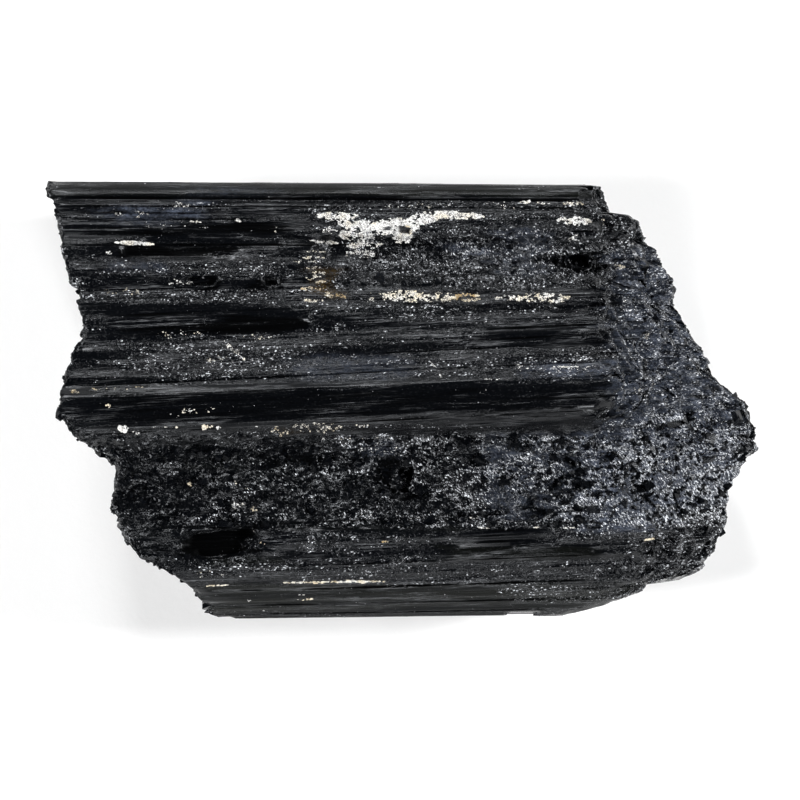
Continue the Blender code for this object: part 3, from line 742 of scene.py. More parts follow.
def band_places(band, chance):
    """Where the grains of one band lie, how wide they are and how warm."""
    start, end = np.array(band.start), np.array(band.end)
    length = np.linalg.norm(end - start)
    count = math.ceil(3.6 * band.cover * (length + band.width) * band.width / band.grain**2)
    share = chance.random(count)
    full = np.sqrt(np.clip(1 - (2 * share - 1) ** 2, 0.1, 1))
    way = (end - start) / length
    side = np.array((-way[1], way[0]))
    off = chance.uniform(-0.5, 0.5, count) * band.width * full
    spill = 0.25 * band.width
    places = start + way * (share * (length + 2 * spill) - spill)[:, None] + side * off[:, None]
    clump = ripple(places / CRUST_CLUMP, 301) + ripple(places / CRUST_GAP, 302)
    rim = (2 * off / (band.width * full)) ** 2 + (2 * share - 1) ** 6
    kept = clump > 0.5 - 0.8 * band.cover + 0.9 * rim  # fewer grains stay towards the border
    warmth = np.clip(band.warmth + 0.35 * ripple(places / 1.1, 303) + chance.normal(0, 0.08, count), 0, 1)
    widths = band.grain * chance.lognormal(-0.1, 0.4, count)
    return places[kept], widths[kept], warmth[kept]


def banded_lumps(name, table, stretch, rise, corners, seed):
    """The grains of every band of a table, as one piece."""
    chance = np.random.default_rng(seed)
    found = [band_places(band, chance) for band in table]
    places = np.concatenate([part[0] for part in found])
    centres, normals, met = dropped(places)
    if len(met) < 0.98 * len(places):
        raise RuntimeError(f"{name}: {len(places) - len(met)} grains miss the broad face")
    widths = np.concatenate([part[1] for part in found])[met]
    made = lumps(name, centres, normals, widths, stretch, rise, corners, chance)
    tone_lumps(made, np.concatenate([part[2] for part in found])[met], corners)
    return made


# ---------------------------------------------------------------- materials


def new_material(name):
    material = bpy.data.materials.new(name)
    material.use_nodes = True
    return material, material.node_tree, material.node_tree.nodes["Principled BSDF"]


def feed(tree, socket, value):
    if isinstance(value, bpy.types.NodeSocket):
        tree.links.new(value, socket)
    else:
        socket.default_value = value


def add_node(tree, kind, inputs, **settings):
    """A new node. inputs maps its sockets to numbers, or to other nodes' outputs."""
    made = tree.nodes.new("ShaderNode" + kind)
    for name, value in settings.items():
        setattr(made, name, value)
    for socket, value in inputs.items():
        feed(tree, made.inputs[socket], value)
    return made


def maths(tree, operation, *values):
    return add_node(tree, "Math", dict(enumerate(values)), operation=operation).outputs[0]


def times(tree, first, *others):
    """The product of numbers and outputs."""
    for other in others:
        first = maths(tree, "MULTIPLY", first, other)
    return first


def plus(tree, first, second):
    return maths(tree, "ADD", first, second)


def less(tree, first, second):
    return maths(tree, "SUBTRACT", first, second)


def apart(tree, value, middle):
    """How far a value lies from a middle one, on either side."""
    return maths(tree, "ABSOLUTE", less(tree, value, middle))


def vectors(tree, operation, *values):
    return add_node(tree, "VectorMath", dict(enumerate(values)), operation=operation).outputs[0]


def attribute(tree, name):
    return add_node(tree, "Attribute", {}, attribute_name=name).outputs["Fac"]


def ramp(tree, value, low, high, to_low=0.0, to_high=1.0):
    """Carries a value from one range to another, and holds it there."""
    inputs = {"Value": value, "From Min": low, "From Max": high, "To Min": to_low, "To Max": to_high}
    return add_node(tree, "MapRange", inputs).outputs[0]


def blend(tree, share, first, second):
    """A colour between two colours."""
    node = add_node(tree, "Mix", {}, data_type="RGBA")
    feed(tree, node.inputs["Factor"], share)
    feed(tree, node.inputs[6], first)
    feed(tree, node.inputs[7], second)
    return node.outputs[2]


def place_in_mm(tree):
    """Place in the part's own frame, in millimetres."""
    coordinates = add_node(tree, "TexCoord", {}).outputs["Object"]
    return vectors(tree, "MULTIPLY", coordinates, (1 / MM, 1 / MM, 1 / MM))


def noise(tree, place, scale, detail=3.0, rough=0.55):
    """Smooth noise from 0 to 1, with a scale for each axis."""
    scaled = vectors(tree, "MULTIPLY", place, scale)
    inputs = {"Vector": scaled, "Scale": 1.0, "Detail": detail, "Roughness": rough}
    return add_node(tree, "TexNoise", inputs).outputs["Fac"]


def cells(tree, place, scale):
    """Small cells, each with its own random colour."""
    inputs = {"Vector": vectors(tree, "MULTIPLY", place, scale), "Scale": 1.0}
    return add_node(tree, "TexVoronoi", inputs)


def bump(tree, height, depth, normal=None):
    """Raises the surface by up to depth millimetres."""
    inputs = {"Height": height, "Distance": depth * MM, "Strength": 1.0}
    if normal is not None:
        inputs["Normal"] = normal
    return add_node(tree, "Bump", inputs).outputs[0]


def column_place(tree):
    """Place in millimetres, with the columns' lean and the slope at the right end taken out."""
    sunk = times(tree, attribute(tree, "sunk"), -1.0)
    drift = add_node(tree, "CombineXYZ", {"Y": attribute(tree, "lean"), "Z": sunk}).outputs[0]
    return vectors(tree, "SUBTRACT", place_in_mm(tree), drift)


def painted_groove_shade(tree, place):
    """1 along the lines of painted shade between columns, which come and go along their length."""
    parts = add_node(tree, "SeparateXYZ", {0: place})
    along, across = parts.outputs["X"], parts.outputs["Y"]
    thin = ramp(tree, noise(tree, place, (0.12, 0.4, 0.4)), 0.35, 0.6, 0.1, 1.0)
    found = 0.0
    for groove in GROOVES:
        line = ramp(tree, apart(tree, across, groove.middle), 0.3 * groove.width, groove.width, 1.0, 0.0)
        begun = ramp(tree, along, groove.start, groove.start + GROOVE_FADE)
        going = ramp(tree, along, groove.end - GROOVE_FADE, groove.end, 1.0, 0.0)
        found = maths(tree, "MAXIMUM", found, times(tree, line, begun, going))
    on_top = ramp(tree, parts.outputs["Z"], FRONT_FROM + 2.0, FRONT_FROM + 5.0)
    return times(tree, found, thin, on_top)


def scattered_normal(tree, place, scale, amount, normal):
    """Tips each small cell of the surface its own way, as crystal facets are."""
    colour = cells(tree, place, scale).outputs["Color"]
    way = vectors(tree, "SUBTRACT", colour, (0.5, 0.5, 0.5))
    tipped = add_node(tree, "VectorMath", {0: way, "Scale": amount}, operation="SCALE").outputs[0]
    return vectors(tree, "NORMALIZE", vectors(tree, "ADD", normal, tipped))


class Marks(NamedTuple):
    """What the parts of the tourmaline's material share, as outputs of its nodes."""

    place: object  # place in millimetres, straightened along the columns
    broken: object  # 1 on the fractures
    satin: object  # 1 on the satin prism faces, which are painted lighter as painted sheen
    granular: object  # 1 on fine grains, and 0 where the columns are smooth
    sunk: object  # how far the slope at the right end lies below the broad face
    streaks: object  # broad streaks along the columns
    fine: object  # fine striations
    crumb: object  # fine crumbs
    chances: object  # three random numbers for each small cell


def surface_marks(tree):
    place = column_place(tree)
    broken = attribute(tree, "broken")
    streaks = noise(tree, place, (0.09, 1.7, 1.7), 4.0, 0.7)
    granular = plus(tree, attribute(tree, "granular"), ramp(tree, streaks, 0.3, 0.7, -0.45, 0.45))
    granular = add_node(tree, "Clamp", {"Value": granular}).outputs[0]
    slanted = add_node(tree, "Mapping", {"Vector": place, "Rotation": (0.0, 0.0, FLAKE_TURN)}).outputs[0]
    grains = cells(tree, place, (3.8, 6.2, 6.2)).outputs["Color"]
    flakes = cells(tree, slanted, (3.2, 7.0, 5.0)).outputs["Color"]
    mixed = blend(tree, ramp(tree, broken, 0.4, 0.6), grains, flakes)
    return Marks(
        place=place,
        broken=broken,
        satin=attribute(tree, "satin"),
        granular=granular,
        sunk=attribute(tree, "sunk"),
        streaks=streaks,
        fine=noise(tree, place, (0.05, 3.2, 3.2), 4.0, 0.62),
        crumb=noise(tree, place, (2.6, 3.6, 3.6), 3.0, 0.6),
        chances=add_node(tree, "SeparateColor", {0: mixed}).outputs,
    )


def mica_dust_and_painted_glints(tree, marks):
    """Mica dust and painted glints on the cells with the highest random numbers, and a frost on a few of the
    others.
    """
    level = plus(tree, marks.chances[0], times(tree, marks.crumb, 0.35))
    clusters = ramp(tree, noise(tree, marks.place, (0.45, 1.2, 1.2), 2.0), 0.35, 0.65, 0.16, -0.16)
    patches = ramp(tree, noise(tree, marks.place, (0.15, 0.24, 0.24), 3.0), 0.38, 0.62, 0.28, -0.2)
    clusters = plus(tree, clusters, times(tree, patches, marks.broken))
    on_grains = ramp(tree, marks.broken, 0.3, 1.0, 1.04, 0.83)
    needed = plus(tree, clusters, ramp(tree, marks.granular, 0.0, 1.0, 1.36, on_grains))
    needed = less(tree, needed, ramp(tree, marks.sunk, 1.0, 5.0, 0.0, 0.1))
    dust_and_painted_glints = ramp(tree, less(tree, level, needed), 0.0, 0.07)
    bright = ramp(tree, maths(tree, "POWER", marks.chances[1], 2.1), 0.0, 1.0, 0.02, 1.0)
    frosted = ramp(tree, marks.granular, 0.0, 1.0, 0.007, 0.03)
    frost = times(tree, maths(tree, "POWER", marks.chances[2], 8.0), frosted)
    return maths(tree, "MAXIMUM", times(tree, dust_and_painted_glints, bright), frost)


def mica_threads_and_painted_glints(tree, marks):
    """Thin curved threads of mica and painted glints over the fractures, where a soft noise passes its
    middle.
    """
    swirl = noise(tree, marks.place, (0.75, 0.95, 0.95), 3.0, 0.6)
    line = ramp(tree, apart(tree, swirl, 0.5), 0.006, 0.02, 1.0, 0.0)
    patchy = ramp(tree, noise(tree, marks.place, (0.3, 0.5, 0.5)), 0.5, 0.68)
    return times(tree, line, patchy, marks.broken, marks.granular)


def painted_highlight_lines(tree, marks):
    """Painted highlights: thin pale lines that follow the columns here and there."""
    line = ramp(tree, apart(tree, marks.fine, 0.52), 0.0, 0.02, 1.0, 0.0)
    patchy = ramp(tree, noise(tree, marks.place, (0.07, 0.5, 0.5)), 0.5, 0.62, 0.0, 0.2)
    return times(tree, line, patchy, less(tree, 1.0, marks.broken))


def painted_shade_share(tree, marks):
    """1 where painted shade goes: in the lines between columns and in the hollows, whose borders are ragged.
    """
    ragged = ramp(tree, marks.crumb, 0.3, 0.5, 0.6, 1.2)
    streaked = ramp(tree, marks.streaks, 0.35, 0.65, 1.3, 0.5)
    hollow = ramp(tree, times(tree, attribute(tree, "hollow"), ragged, streaked), 0.3, 0.7)
    return maths(tree, "MAXIMUM", painted_groove_shade(tree, marks.place), times(tree, hollow, 0.85))


def haze_and_sheen_share(tree, marks):
    """How strong the blue-grey bloom and its painted sheen are: cloudy, and uneven from cell to cell."""
    clouds = ramp(tree, noise(tree, marks.place, (0.5, 0.9, 0.9), 4.0, 0.6), 0.32, 0.7)
    return times(tree, attribute(tree, "haze"), clouds, ramp(tree, marks.chances[0], 0.1, 0.9, 0.35, 1.3))


def tourmaline_colour(tree, marks, dark, haze, settings):
    """Black, a lighter tint on the satin faces as painted sheen, and over that the bloom with its painted
    sheen, the mica dust with painted glints and highlight lines, the stain and the painted shade.
    """
    dust_and_painted_glints = mica_dust_and_painted_glints(tree, marks)
    for more in (mica_threads_and_painted_glints(tree, marks), painted_highlight_lines(tree, marks)):
        dust_and_painted_glints = maths(tree, "MAXIMUM", dust_and_painted_glints, more)
    dust_and_painted_glints = times(tree, dust_and_painted_glints, less(tree, 1.0, dark))
    stain = times(tree, attribute(tree, "stain"), ramp(tree, marks.crumb, 0.35, 0.6))
    banding = ramp(tree, noise(tree, marks.place, (0.02, 0.5, 0.5)), 0.38, 0.62, 0.25, 1.0)
    colour = (*settings.black, 1.0)
    # Painted sheen on the satin faces and in the bloom, painted glints in the dust, and painted shade in the
    # dark places.
    coats = (
        (times(tree, marks.satin, banding), settings.painted_sheen_olive),
        (haze, settings.haze),
        (dust_and_painted_glints, settings.dust_and_painted_glints),
        (stain, settings.stain),
        # Painted shade in the grooves, the hollows and the deep black places.
        (dark, PAINTED_SHADE_BLACK),
    )
    for share, shade in coats:
        colour = blend(tree, share, colour, (*shade, 1.0))
    return colour


def facing_up(tree, marks, dark, normal):
    """How far the finest steps of the surface face up, whichever way it slopes."""
    steep = ramp(tree, add_node(tree, "SeparateXYZ", {0: normal}).outputs["Z"], 0.45, 0.74, 0.45, 0.0)
    ledges = times(tree, steep, marks.satin, ramp(tree, marks.fine, 0.3, 0.7, 0.7, 1.6))
    pits = ramp(tree, noise(tree, marks.place, (1.0, 1.5, 1.5), 3.0, 0.6), 0.5, 0.6, 0.0, 1.1)
    pits = times(tree, pits, ramp(tree, marks.sunk, 0.5, 5.0, 1.0, 0.3), marks.broken)
    # Where the columns step down the slope, their tops are level.
    tops = ramp(tree, noise(tree, marks.place, (0.2, 1.0, 1.0), 3.0, 0.6), 0.48, 0.58, 0.0, 0.9)
    on_slope = ramp(tree, marks.sunk, 0.3, 1.5)
    tops = times(tree, tops, on_slope, ramp(tree, marks.broken, 0.1, 0.7, 1.0, 0.2))
    for more in (pits, tops, times(tree, dark, 1.6)):
        ledges = plus(tree, ledges, more)
    return ledges


def tourmaline_normal(tree, marks, dark, settings):
    """Striations along the columns, crumbs where it is granular, and facets that tip every way."""
    hair = noise(tree, marks.place, (0.1, 6.0, 6.0), 2.0)
    lines = plus(tree, marks.fine, times(tree, hair, 0.5))
    on_columns = less(tree, 1.0, times(tree, marks.broken, 0.85))
    on_columns = times(tree, on_columns, ramp(tree, marks.granular, 0.0, 1.0, 0.22, 1.0))
    on_columns = plus(tree, on_columns, times(tree, marks.satin, 1.4))
    normal = bump(tree, times(tree, lines, on_columns), settings.line_depth / MM)
    normal = bump(tree, times(tree, marks.crumb, marks.granular), settings.crumb_depth / MM, normal)
    up = add_node(tree, "CombineXYZ", {"Z": facing_up(tree, marks, dark, normal)}).outputs[0]
    normal = vectors(tree, "NORMALIZE", vectors(tree, "ADD", normal, up))
    tip = times(tree, ramp(tree, marks.granular, 0.1, 1.0), settings.sparkle)
    return scattered_normal(tree, marks.place, (3.2, 4.8, 4.8), tip, normal)


def make_glassy(shader):
    """Gives a shader the gloss of tourmaline."""
    shader.inputs["IOR"].default_value = TOURMALINE_IOR
    shader.inputs["Specular IOR Level"].default_value = TOURMALINE_SPECULAR
    shader.inputs["Specular Tint"].default_value = TOURMALINE_TINT


def tourmaline_material(settings):
    """Black and glassy, striated, with satin prism faces, granular etched places and a blue-grey bloom; its
    colour carries painted sheen, painted glints and painted shade.
    """
    material, tree, shader = new_material("black_tourmaline")
    marks = surface_marks(tree)
    dark = painted_shade_share(tree, marks)
    haze = haze_and_sheen_share(tree, marks)
    feed(tree, shader.inputs["Base Color"], tourmaline_colour(tree, marks, dark, haze, settings))
    rough = ramp(tree, marks.granular, 0.0, 0.6, settings.satin_rough, settings.gloss)
    rough = plus(tree, rough, ramp(tree, marks.fine, 0.3, 0.7, -0.05, 0.06))
    feed(tree, shader.inputs["Roughness"], plus(tree, rough, times(tree, haze, 0.2)))
    feed(tree, shader.inputs["Normal"], tourmaline_normal(tree, marks, dark, settings))
    make_glassy(shader)
    return material


def shard_material(settings):
    """The same black glass as on the fracture, plain and with a faint smoky tone from piece to piece."""
    material, tree, shader = new_material("tourmaline_shards")
    place = place_in_mm(tree)
    tone = attribute(tree, "tone")
    clouds = noise(tree, place, (1.4, 1.4, 1.4))
    smoky = tuple(3.5 * level for level in settings.black)
    share = times(tree, ramp(tree, tone, 0.55, 1.0), ramp(tree, clouds, 0.3, 0.7))
    feed(tree, shader.inputs["Base Color"], blend(tree, share, (*settings.black, 1.0), (*smoky, 1.0)))
    feed(tree, shader.inputs["Roughness"], ramp(tree, clouds, 0.3, 0.7, 0.16, 0.32))
    feed(tree, shader.inputs["Normal"], bump(tree, noise(tree, place, (5.0, 5.0, 5.0)), 0.04))
    make_glassy(shader)
    return material


def glint_material(settings):
    """Silvery mica: pearly cleavage flakes, some whiter than others, their pale colours partly painted
    glints.
    """
    material, tree, shader = new_material("mica_glints")
    place = place_in_mm(tree)
    tone = attribute(tree, "tone")
    grain = noise(tree, place, (6.0, 6.0, 6.0))
    share = times(tree, maths(tree, "POWER", tone, 3.5), ramp(tree, grain, 0.2, 0.7, 0.6, 1.0))
    colour = blend(tree, share, (*settings.dull, 1.0), (*settings.bright, 1.0))
    feed(tree, shader.inputs["Base Color"], colour)
    feed(tree, shader.inputs["Roughness"], ramp(tree, grain, 0.3, 0.7, 0.25, 0.45))
    feed(tree, shader.inputs["Normal"], bump(tree, grain, 0.02))
    shader.inputs["IOR"].default_value = MICA_IOR
    return material


def feldspar_material(name, settings, deep):
    """Chalky feldspar with mica through it: white to ochre by grain, mottled, and dark in its pores."""
    material, tree, shader = new_material(name)
    place = place_in_mm(tree)
    tone = attribute(tree, "tone")
    mottle = noise(tree, place, (2.0, 2.6, 2.6), 4.0, 0.6)
    pores = cells(tree, place, (5.0, 6.0, 6.0)).outputs["Distance"]
    white, cream, ochre = ((*shade, 1.0) for shade in (settings.white, settings.cream, settings.ochre))
    colour = blend(tree, ramp(tree, tone, 0.1, 0.6), white, cream)
    colour = blend(tree, ramp(tree, tone, 0.6, 1.0), colour, ochre)
    grey = tuple(0.3 * level for level in settings.white)
    colour = blend(tree, ramp(tree, mottle, 0.52, 0.72), colour, (*grey, 1.0))
    colour = blend(tree, ramp(tree, pores, 0.5, 0.7, 0.0, deep), colour, (*settings.pore, 1.0))
    feed(tree, shader.inputs["Base Color"], colour)
    feed(tree, shader.inputs["Roughness"], ramp(tree, mottle, 0.3, 0.7, 0.45, 0.7))
    feed(tree, shader.inputs["Normal"], bump(tree, mottle, 0.06))
    shader.inputs["IOR"].default_value = FELDSPAR_IOR
    return material


def floor_material(settings):
    """Matt pale paper with a barely seen tooth."""
    material, tree, shader = new_material("floor_paper")
    place = place_in_mm(tree)
    tooth = noise(tree, place, (0.4, 0.4, 0.4), 4.0, 0.6)
    soft = tuple(0.985 * level for level in settings.floor)
    feed(tree, shader.inputs["Base Color"], blend(tree, tooth, (*soft, 1.0), (*settings.floor, 1.0)))
    feed(tree, shader.inputs["Normal"], bump(tree, tooth, 0.05))
    shader.inputs["Roughness"].default_value = 0.9
    shader.inputs["Specular IOR Level"].default_value = 0.2
    shader.inputs["Emission Color"].default_value = (1.0, 1.0, 1.0, 1.0)
    shader.inputs["Emission Strength"].default_value = settings.glow
    return material


# ---------------------------------------------------------------- stage


def dimmed_sky(settings):
    """A room that is pale round the sides and dark overhead, so that glassy black faces stay black."""
    world = bpy.data.worlds.new("studio")
    world.use_nodes = True
    tree = world.node_tree
    way = add_node(tree, "TexCoord", {}).outputs["Generated"]
    up = add_node(tree, "SeparateXYZ", {0: way}).outputs["Z"]
    share = ramp(tree, up, 0.1, 0.4)
    tree.nodes["Background"].inputs["Strength"].default_value = 1.0
    low, high = (*settings.wall, 1.0), (*settings.ceiling, 1.0)
    feed(tree, tree.nodes["Background"].inputs["Color"], blend(tree, share, low, high))
    return world


def soft_light(name, direction, strength, softness):
    """Even light from one direction, as wide in the sky as its softness says."""
    light = bpy.data.lights.new(name, "SUN")
    light.energy = strength
    light.angle = softness
    made = bpy.data.objects.new(name, light)
    bpy.context.scene.collection.objects.link(made)
    way = Vector(direction).normalized()
    made.location = way
    made.rotation_euler = (-way).to_track_quat("-Z", "Y").to_euler()


def floor(settings):
    """A wide sheet of paper under the crystal."""
    half = settings.floor_size / 2
    mesh = bpy.data.meshes.new("floor")
    line = [half * (2 * step / FLOOR_STEPS - 1) for step in range(FLOOR_STEPS + 1)]
    points = [(x, y, 0.0) for y in line for x in line]
    row = FLOOR_STEPS + 1
    faces = []
    for y in range(FLOOR_STEPS):
        for x in range(FLOOR_STEPS):
            first = y * row + x
            faces.append((first, first + 1, first + 1 + row, first + row))
    mesh.from_pydata(points, [], faces)
    made = bpy.data.objects.new("floor", mesh)
    bpy.context.scene.collection.objects.link(made)
    mesh.materials.append(floor_material(settings))
    return made


def camera_above(settings):
    """A camera that looks straight down on the middle of the crystal."""
    data = bpy.data.cameras.new("camera")
    data.sensor_width = 36.0
    distance = settings.camera_height - settings.focus_height
    data.lens = data.sensor_width * distance / settings.view_width
    data.dof.use_dof = False
    data.clip_start, data.clip_end = 0.01, 20.0
    made = bpy.data.objects.new("camera", data)
    bpy.context.scene.collection.objects.link(made)
    made.location = (0.0, 0.0, settings.camera_height)
    bpy.context.scene.camera = made


# ---------------------------------------------------------------- settings


def length_of(name, description, millimetres):
    return FloatProperty(name=name, description=description, default=millimetres * MM, unit="LENGTH",
                         subtype="DISTANCE", precision=5)


def angle_of(name, description, degrees):
    return FloatProperty(name=name, description=description, default=math.radians(degrees), unit="ROTATION",
                         subtype="ANGLE")


def amount_of(name, description, amount):
    return FloatProperty(name=name, description=description, default=amount, min=0.0)


def count_of(name, description, count):
    return IntProperty(name=name, description=description, default=count, min=1)


def colour_of(name, description, shade):
    return FloatVectorProperty(name=name, description=description, default=shade, size=3, min=0.0, max=1.0,
                               subtype="COLOR")


class SurfaceSettings(bpy.types.PropertyGroup):
    voxel: length_of("Detail", "Size of the smallest step of the surface", 0.3)
    triangles: count_of("Triangles", "The most triangles of the surface", 190000)
    column_width: length_of("Column width", "Width of the widest striations", 1.25)
    column_step: length_of("Column step", "How far the widest striations stand out", 0.14)
    fracture_width: length_of("Facet width", "Width of the large facets of the fractures", 2.1)
    fracture_depth: length_of("Facet depth", "How deep those facets lie", 0.42)
    hollow_depth: length_of("Hollow depth", "Depth of the dark hollows", 1.4)
    end_step: length_of("End step", "How far the columns stop short where they broke", 0.85)
    line_depth: length_of("Line depth", "Depth of the finest striations", 0.04)
    crumb_depth: length_of("Crumb depth", "Depth of the finest grains", 0.1)
    crease: angle_of("Crease", "Edges sharper than this stay sharp", 32)
    sparkle: amount_of("Sparkle", "How far the finest facets tip", 0.6)
    satin_rough: amount_of("Satin roughness", "Roughness of the smooth faces", 0.24)
    gloss: amount_of("Gloss roughness", "Roughness of the glassiest faces", 0.14)
    black: colour_of("Black", "Colour of the crystal", (0.0013, 0.0016, 0.0023))
    # The satin faces' colour: an olive tint painted lighter than the black, as painted sheen.
    painted_sheen_olive: colour_of("Satin", "Colour of the satin faces", (0.0036, 0.004, 0.0028))
    # The bloom's colour: partly a film of fine mica dust, partly painted sheen.
    haze: colour_of("Bloom", "Colour of the blue-grey bloom", (0.07, 0.083, 0.115))
    # Partly mica dust, partly painted glints and painted highlight lines.
    dust_and_painted_glints: colour_of("Dust", "Colour of the mica dust", (0.88, 0.91, 0.96))
    stain: colour_of("Stain", "Colour of the iron stain", (0.03, 0.019, 0.006))


class LooseSettings(bpy.types.PropertyGroup):
    shards: count_of("Shards", "Number of angular chips on the fractures", 4500)
    shard: length_of("Shard width", "Width of a chip", 0.75)
    glints: count_of("Glints", "Number of mica flakes", 14000)
    glint: length_of("Glint width", "Width of a mica flake", 0.17)
    dull: colour_of("Dull mica", "Colour of the darkest flakes", (0.05, 0.052, 0.058))
    # The brightest flakes' colour is partly painted glints.
    bright: colour_of("Bright mica", "Colour of the brightest flakes", (0.75, 0.76, 0.8))


class CrustSettings(bpy.types.PropertyGroup):
    white: colour_of("White", "Colour of the whitest feldspar", (0.92, 0.915, 0.9))
    cream: colour_of("Cream", "Colour of creamy feldspar", (0.86, 0.78, 0.62))
    ochre: colour_of("Ochre", "Colour of stained feldspar", (0.46, 0.32, 0.14))
    pore: colour_of("Pores", "Colour in the pores", (0.03, 0.028, 0.025))


class StageSettings(bpy.types.PropertyGroup):
    floor: colour_of("Floor", "Colour of the floor", (0.93, 0.93, 0.93))
    glow: amount_of("Glow", "Light from the paper itself, as on a light table", 0.1)
    floor_size: length_of("Floor size", "Side of the floor", 6000.0)
    wall: colour_of("Walls", "Light from round the sides", (0.32, 0.325, 0.335))
    ceiling: colour_of("Ceiling", "Light from overhead", (0.004, 0.004, 0.0045))
    camera_height: length_of("Camera height", "Height of the camera over the floor", 3000.0)
    focus_height: length_of("Focus height", "Height at which the view has its width", 30.0)
    view_width: length_of("View width", "Width that the camera sees at that height", 134.8)
    key: amount_of("Key", "Strength of the light above the upper side", 1.5)
    fill: amount_of("Fill", "Strength of the light below the lower side", 1.2)
    right: amount_of("Right", "Strength of the light on the right", 3.3)
    left: amount_of("Left", "Strength of the light on the left", 2.8)
    softness: angle_of("Softness", "Width of each light", 12)


class TourmalineSettings(bpy.types.PropertyGroup):
    surface: PointerProperty(name="Surface", description="The crystal's own surface", type=SurfaceSettings)
    loose: PointerProperty(name="Loose pieces", description="Its chips and flakes", type=LooseSettings)
    crust: PointerProperty(name="Crusts", description="Its pale crusts and veins", type=CrustSettings)
    stage: PointerProperty(name="Stage", description="The floor, lights and camera", type=StageSettings)


# ---------------------------------------------------------------- operators


def dress(made, material):
    """Gives a piece its material, and makes it part of the crystal."""
    made.data.materials.append(material)
    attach(made, BODY)


class TOURMALINE_OT_surface(bpy.types.Operator):
    """Grow the striated and broken surface over the CAD solid"""

    bl_idname = "tourmaline.surface"
    bl_label = "Crystal surface"

    def execute(self, context):
        settings = context.scene.tourmaline.surface
        made = grown_surface(settings)
        if not made.data.polygons:
            raise RuntimeError("the crystal's surface came out empty")
        dress(made, tourmaline_material(settings))
        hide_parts(NODE)
        return {"FINISHED"}


class TOURMALINE_OT_shards(bpy.types.Operator):
    """Set angular black chips into the fractures"""

    bl_idname = "tourmaline.shards"
    bl_label = "Fracture shards"

    def execute(self, context):
        settings = context.scene.tourmaline
        loose = settings.loose
        chance = np.random.default_rng(21)

        def weigh(places, normals):
            resting = smooth(1.0, 3.0, places[:, 2])
            clumps = smooth(-0.3, 0.5, ripple(places / (3.0, 1.6, 2.0), 401))
            facing = 0.2 + is_front(places, normals)
            return broken_share(places, normals) ** 4 * (0.2 + clumps) * resting * facing

        centres, normals = spread(loose.shards, weigh, chance)
        widths = loose.shard / MM * chance.lognormal(-0.3, 0.55, len(centres))
        tipped = unit(normals + chance.normal(0, 0.28, normals.shape))
        made = lumps("fracture_shards", centres, tipped, widths, 1.15, 0.5, SHARD_CORNERS, chance)
        tone_lumps(made, chance.random(len(centres)), SHARD_CORNERS)
        dress(made, shard_material(settings.surface))
        return {"FINISHED"}


class TOURMALINE_OT_glints(bpy.types.Operator):
    """Dust the granular places with mica flakes, whose pale colour is partly painted glints"""

    bl_idname = "tourmaline.glints"
    bl_label = "Mica glints"

    def execute(self, context):
        loose = context.scene.tourmaline.loose
        chance = np.random.default_rng(22)

        def weigh(places, normals):
            resting = smooth(1.0, 3.0, places[:, 2])
            broken = broken_share(places, normals)
            clumps = smooth(-0.2, 0.6, ripple(places / (2.4, 0.9, 0.9), 402))
            granular = np.maximum(granular_share(places, normals, broken), 0)
            facing = 0.35 + is_front(places, normals)
            return (granular ** 1.5 * (0.2 + clumps) + 0.02) * resting * facing

        centres, normals = spread(loose.glints, weigh, chance)
        widths = loose.glint / MM * chance.lognormal(-0.1, 0.35, len(centres))
        tipped = unit(normals + chance.normal(0, 0.25, normals.shape))
        made = lumps("mica_glints", centres, tipped, widths, 1.25, 0.35, GLINT_CORNERS, chance)
        tone_lumps(made, chance.random(len(centres)), GLINT_CORNERS)
        dress(made, glint_material(loose))
        return {"FINISHED"}


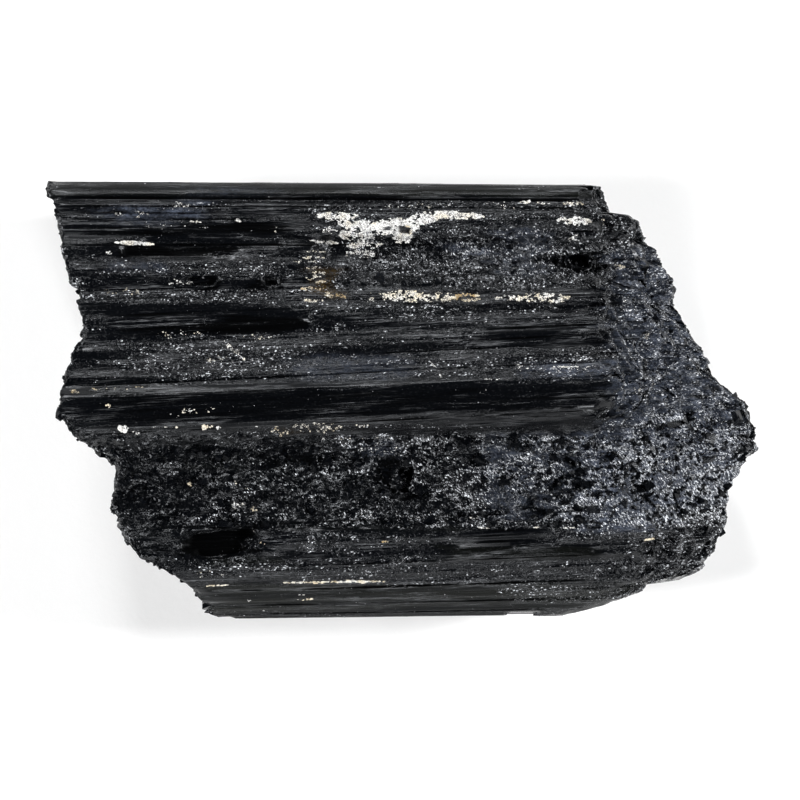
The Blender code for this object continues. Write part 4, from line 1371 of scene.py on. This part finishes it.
class TOURMALINE_OT_crusts(bpy.types.Operator):
    """Grow the pale crusts, the single grains and the veins on the broad face"""

    bl_idname = "tourmaline.crusts"
    bl_label = "Feldspar crusts"

    def execute(self, context):
        settings = context.scene.tourmaline.crust
        # Each has its table, its grains' stretch, rise and corners, its seed and how dark its pores are.
        for name, table, stretch, rise, corners, seed, deep in (
            ("crust", CRUSTS, 1.2, 0.2, 4, 31, 0.6),
            ("grains", GRAINS, 1.1, 0.45, 6, 32, 0.4),
            ("veins", VEINS, 1.6, 0.3, 4, 33, 0.5),
        ):
            made = banded_lumps("feldspar_" + name, table, stretch, rise, corners, seed)
            dress(made, feldspar_material(name, settings, deep))
        return {"FINISHED"}


class TOURMALINE_OT_stage(bpy.types.Operator):
    """Set the floor, the room, the soft boxes and the camera"""

    bl_idname = "tourmaline.stage"
    bl_label = "Stage"

    def execute(self, context):
        settings = context.scene.tourmaline.stage
        floor(settings)
        context.scene.world = dimmed_sky(settings)
        context.scene.view_settings.view_transform = "Standard"
        for name, direction in LIGHTS.items():
            soft_light(name, direction, getattr(settings, name), settings.softness)
        camera_above(settings)
        return {"FINISHED"}


class TOURMALINE_PT_panel(bpy.types.Panel):
    """Lists the pieces of the crystal"""

    bl_idname = "TOURMALINE_PT_panel"
    bl_label = "Black tourmaline"
    bl_space_type = "VIEW_3D"
    bl_region_type = "UI"
    bl_category = "Tourmaline"

    def draw(self, context):
        settings = context.scene.tourmaline
        groups = (settings.surface, settings.loose, settings.crust, settings.stage)
        for operator in OPERATORS:
            self.layout.operator(operator.bl_idname)
        for group in groups:
            box = self.layout.box()
            for name in group.bl_rna.properties.keys():
                if name not in ("rna_type", "name"):
                    box.prop(group, name)


OPERATORS = (
    TOURMALINE_OT_surface,
    TOURMALINE_OT_shards,
    TOURMALINE_OT_glints,
    TOURMALINE_OT_crusts,
    TOURMALINE_OT_stage,
)
GROUPS = (SurfaceSettings, LooseSettings, CrustSettings, StageSettings, TourmalineSettings)
CLASSES = (*GROUPS, *OPERATORS, TOURMALINE_PT_panel)


def register():
    for made in CLASSES:
        bpy.utils.register_class(made)
    bpy.types.Scene.tourmaline = PointerProperty(type=TourmalineSettings)


def unregister():
    del bpy.types.Scene.tourmaline
    for made in reversed(CLASSES):
        bpy.utils.unregister_class(made)


def main():
    register()
    bpy.ops.tourmaline.surface()
    bpy.ops.tourmaline.shards()
    bpy.ops.tourmaline.glints()
    bpy.ops.tourmaline.crusts()
    bpy.ops.tourmaline.stage()


if __name__ == "__main__":
    main()
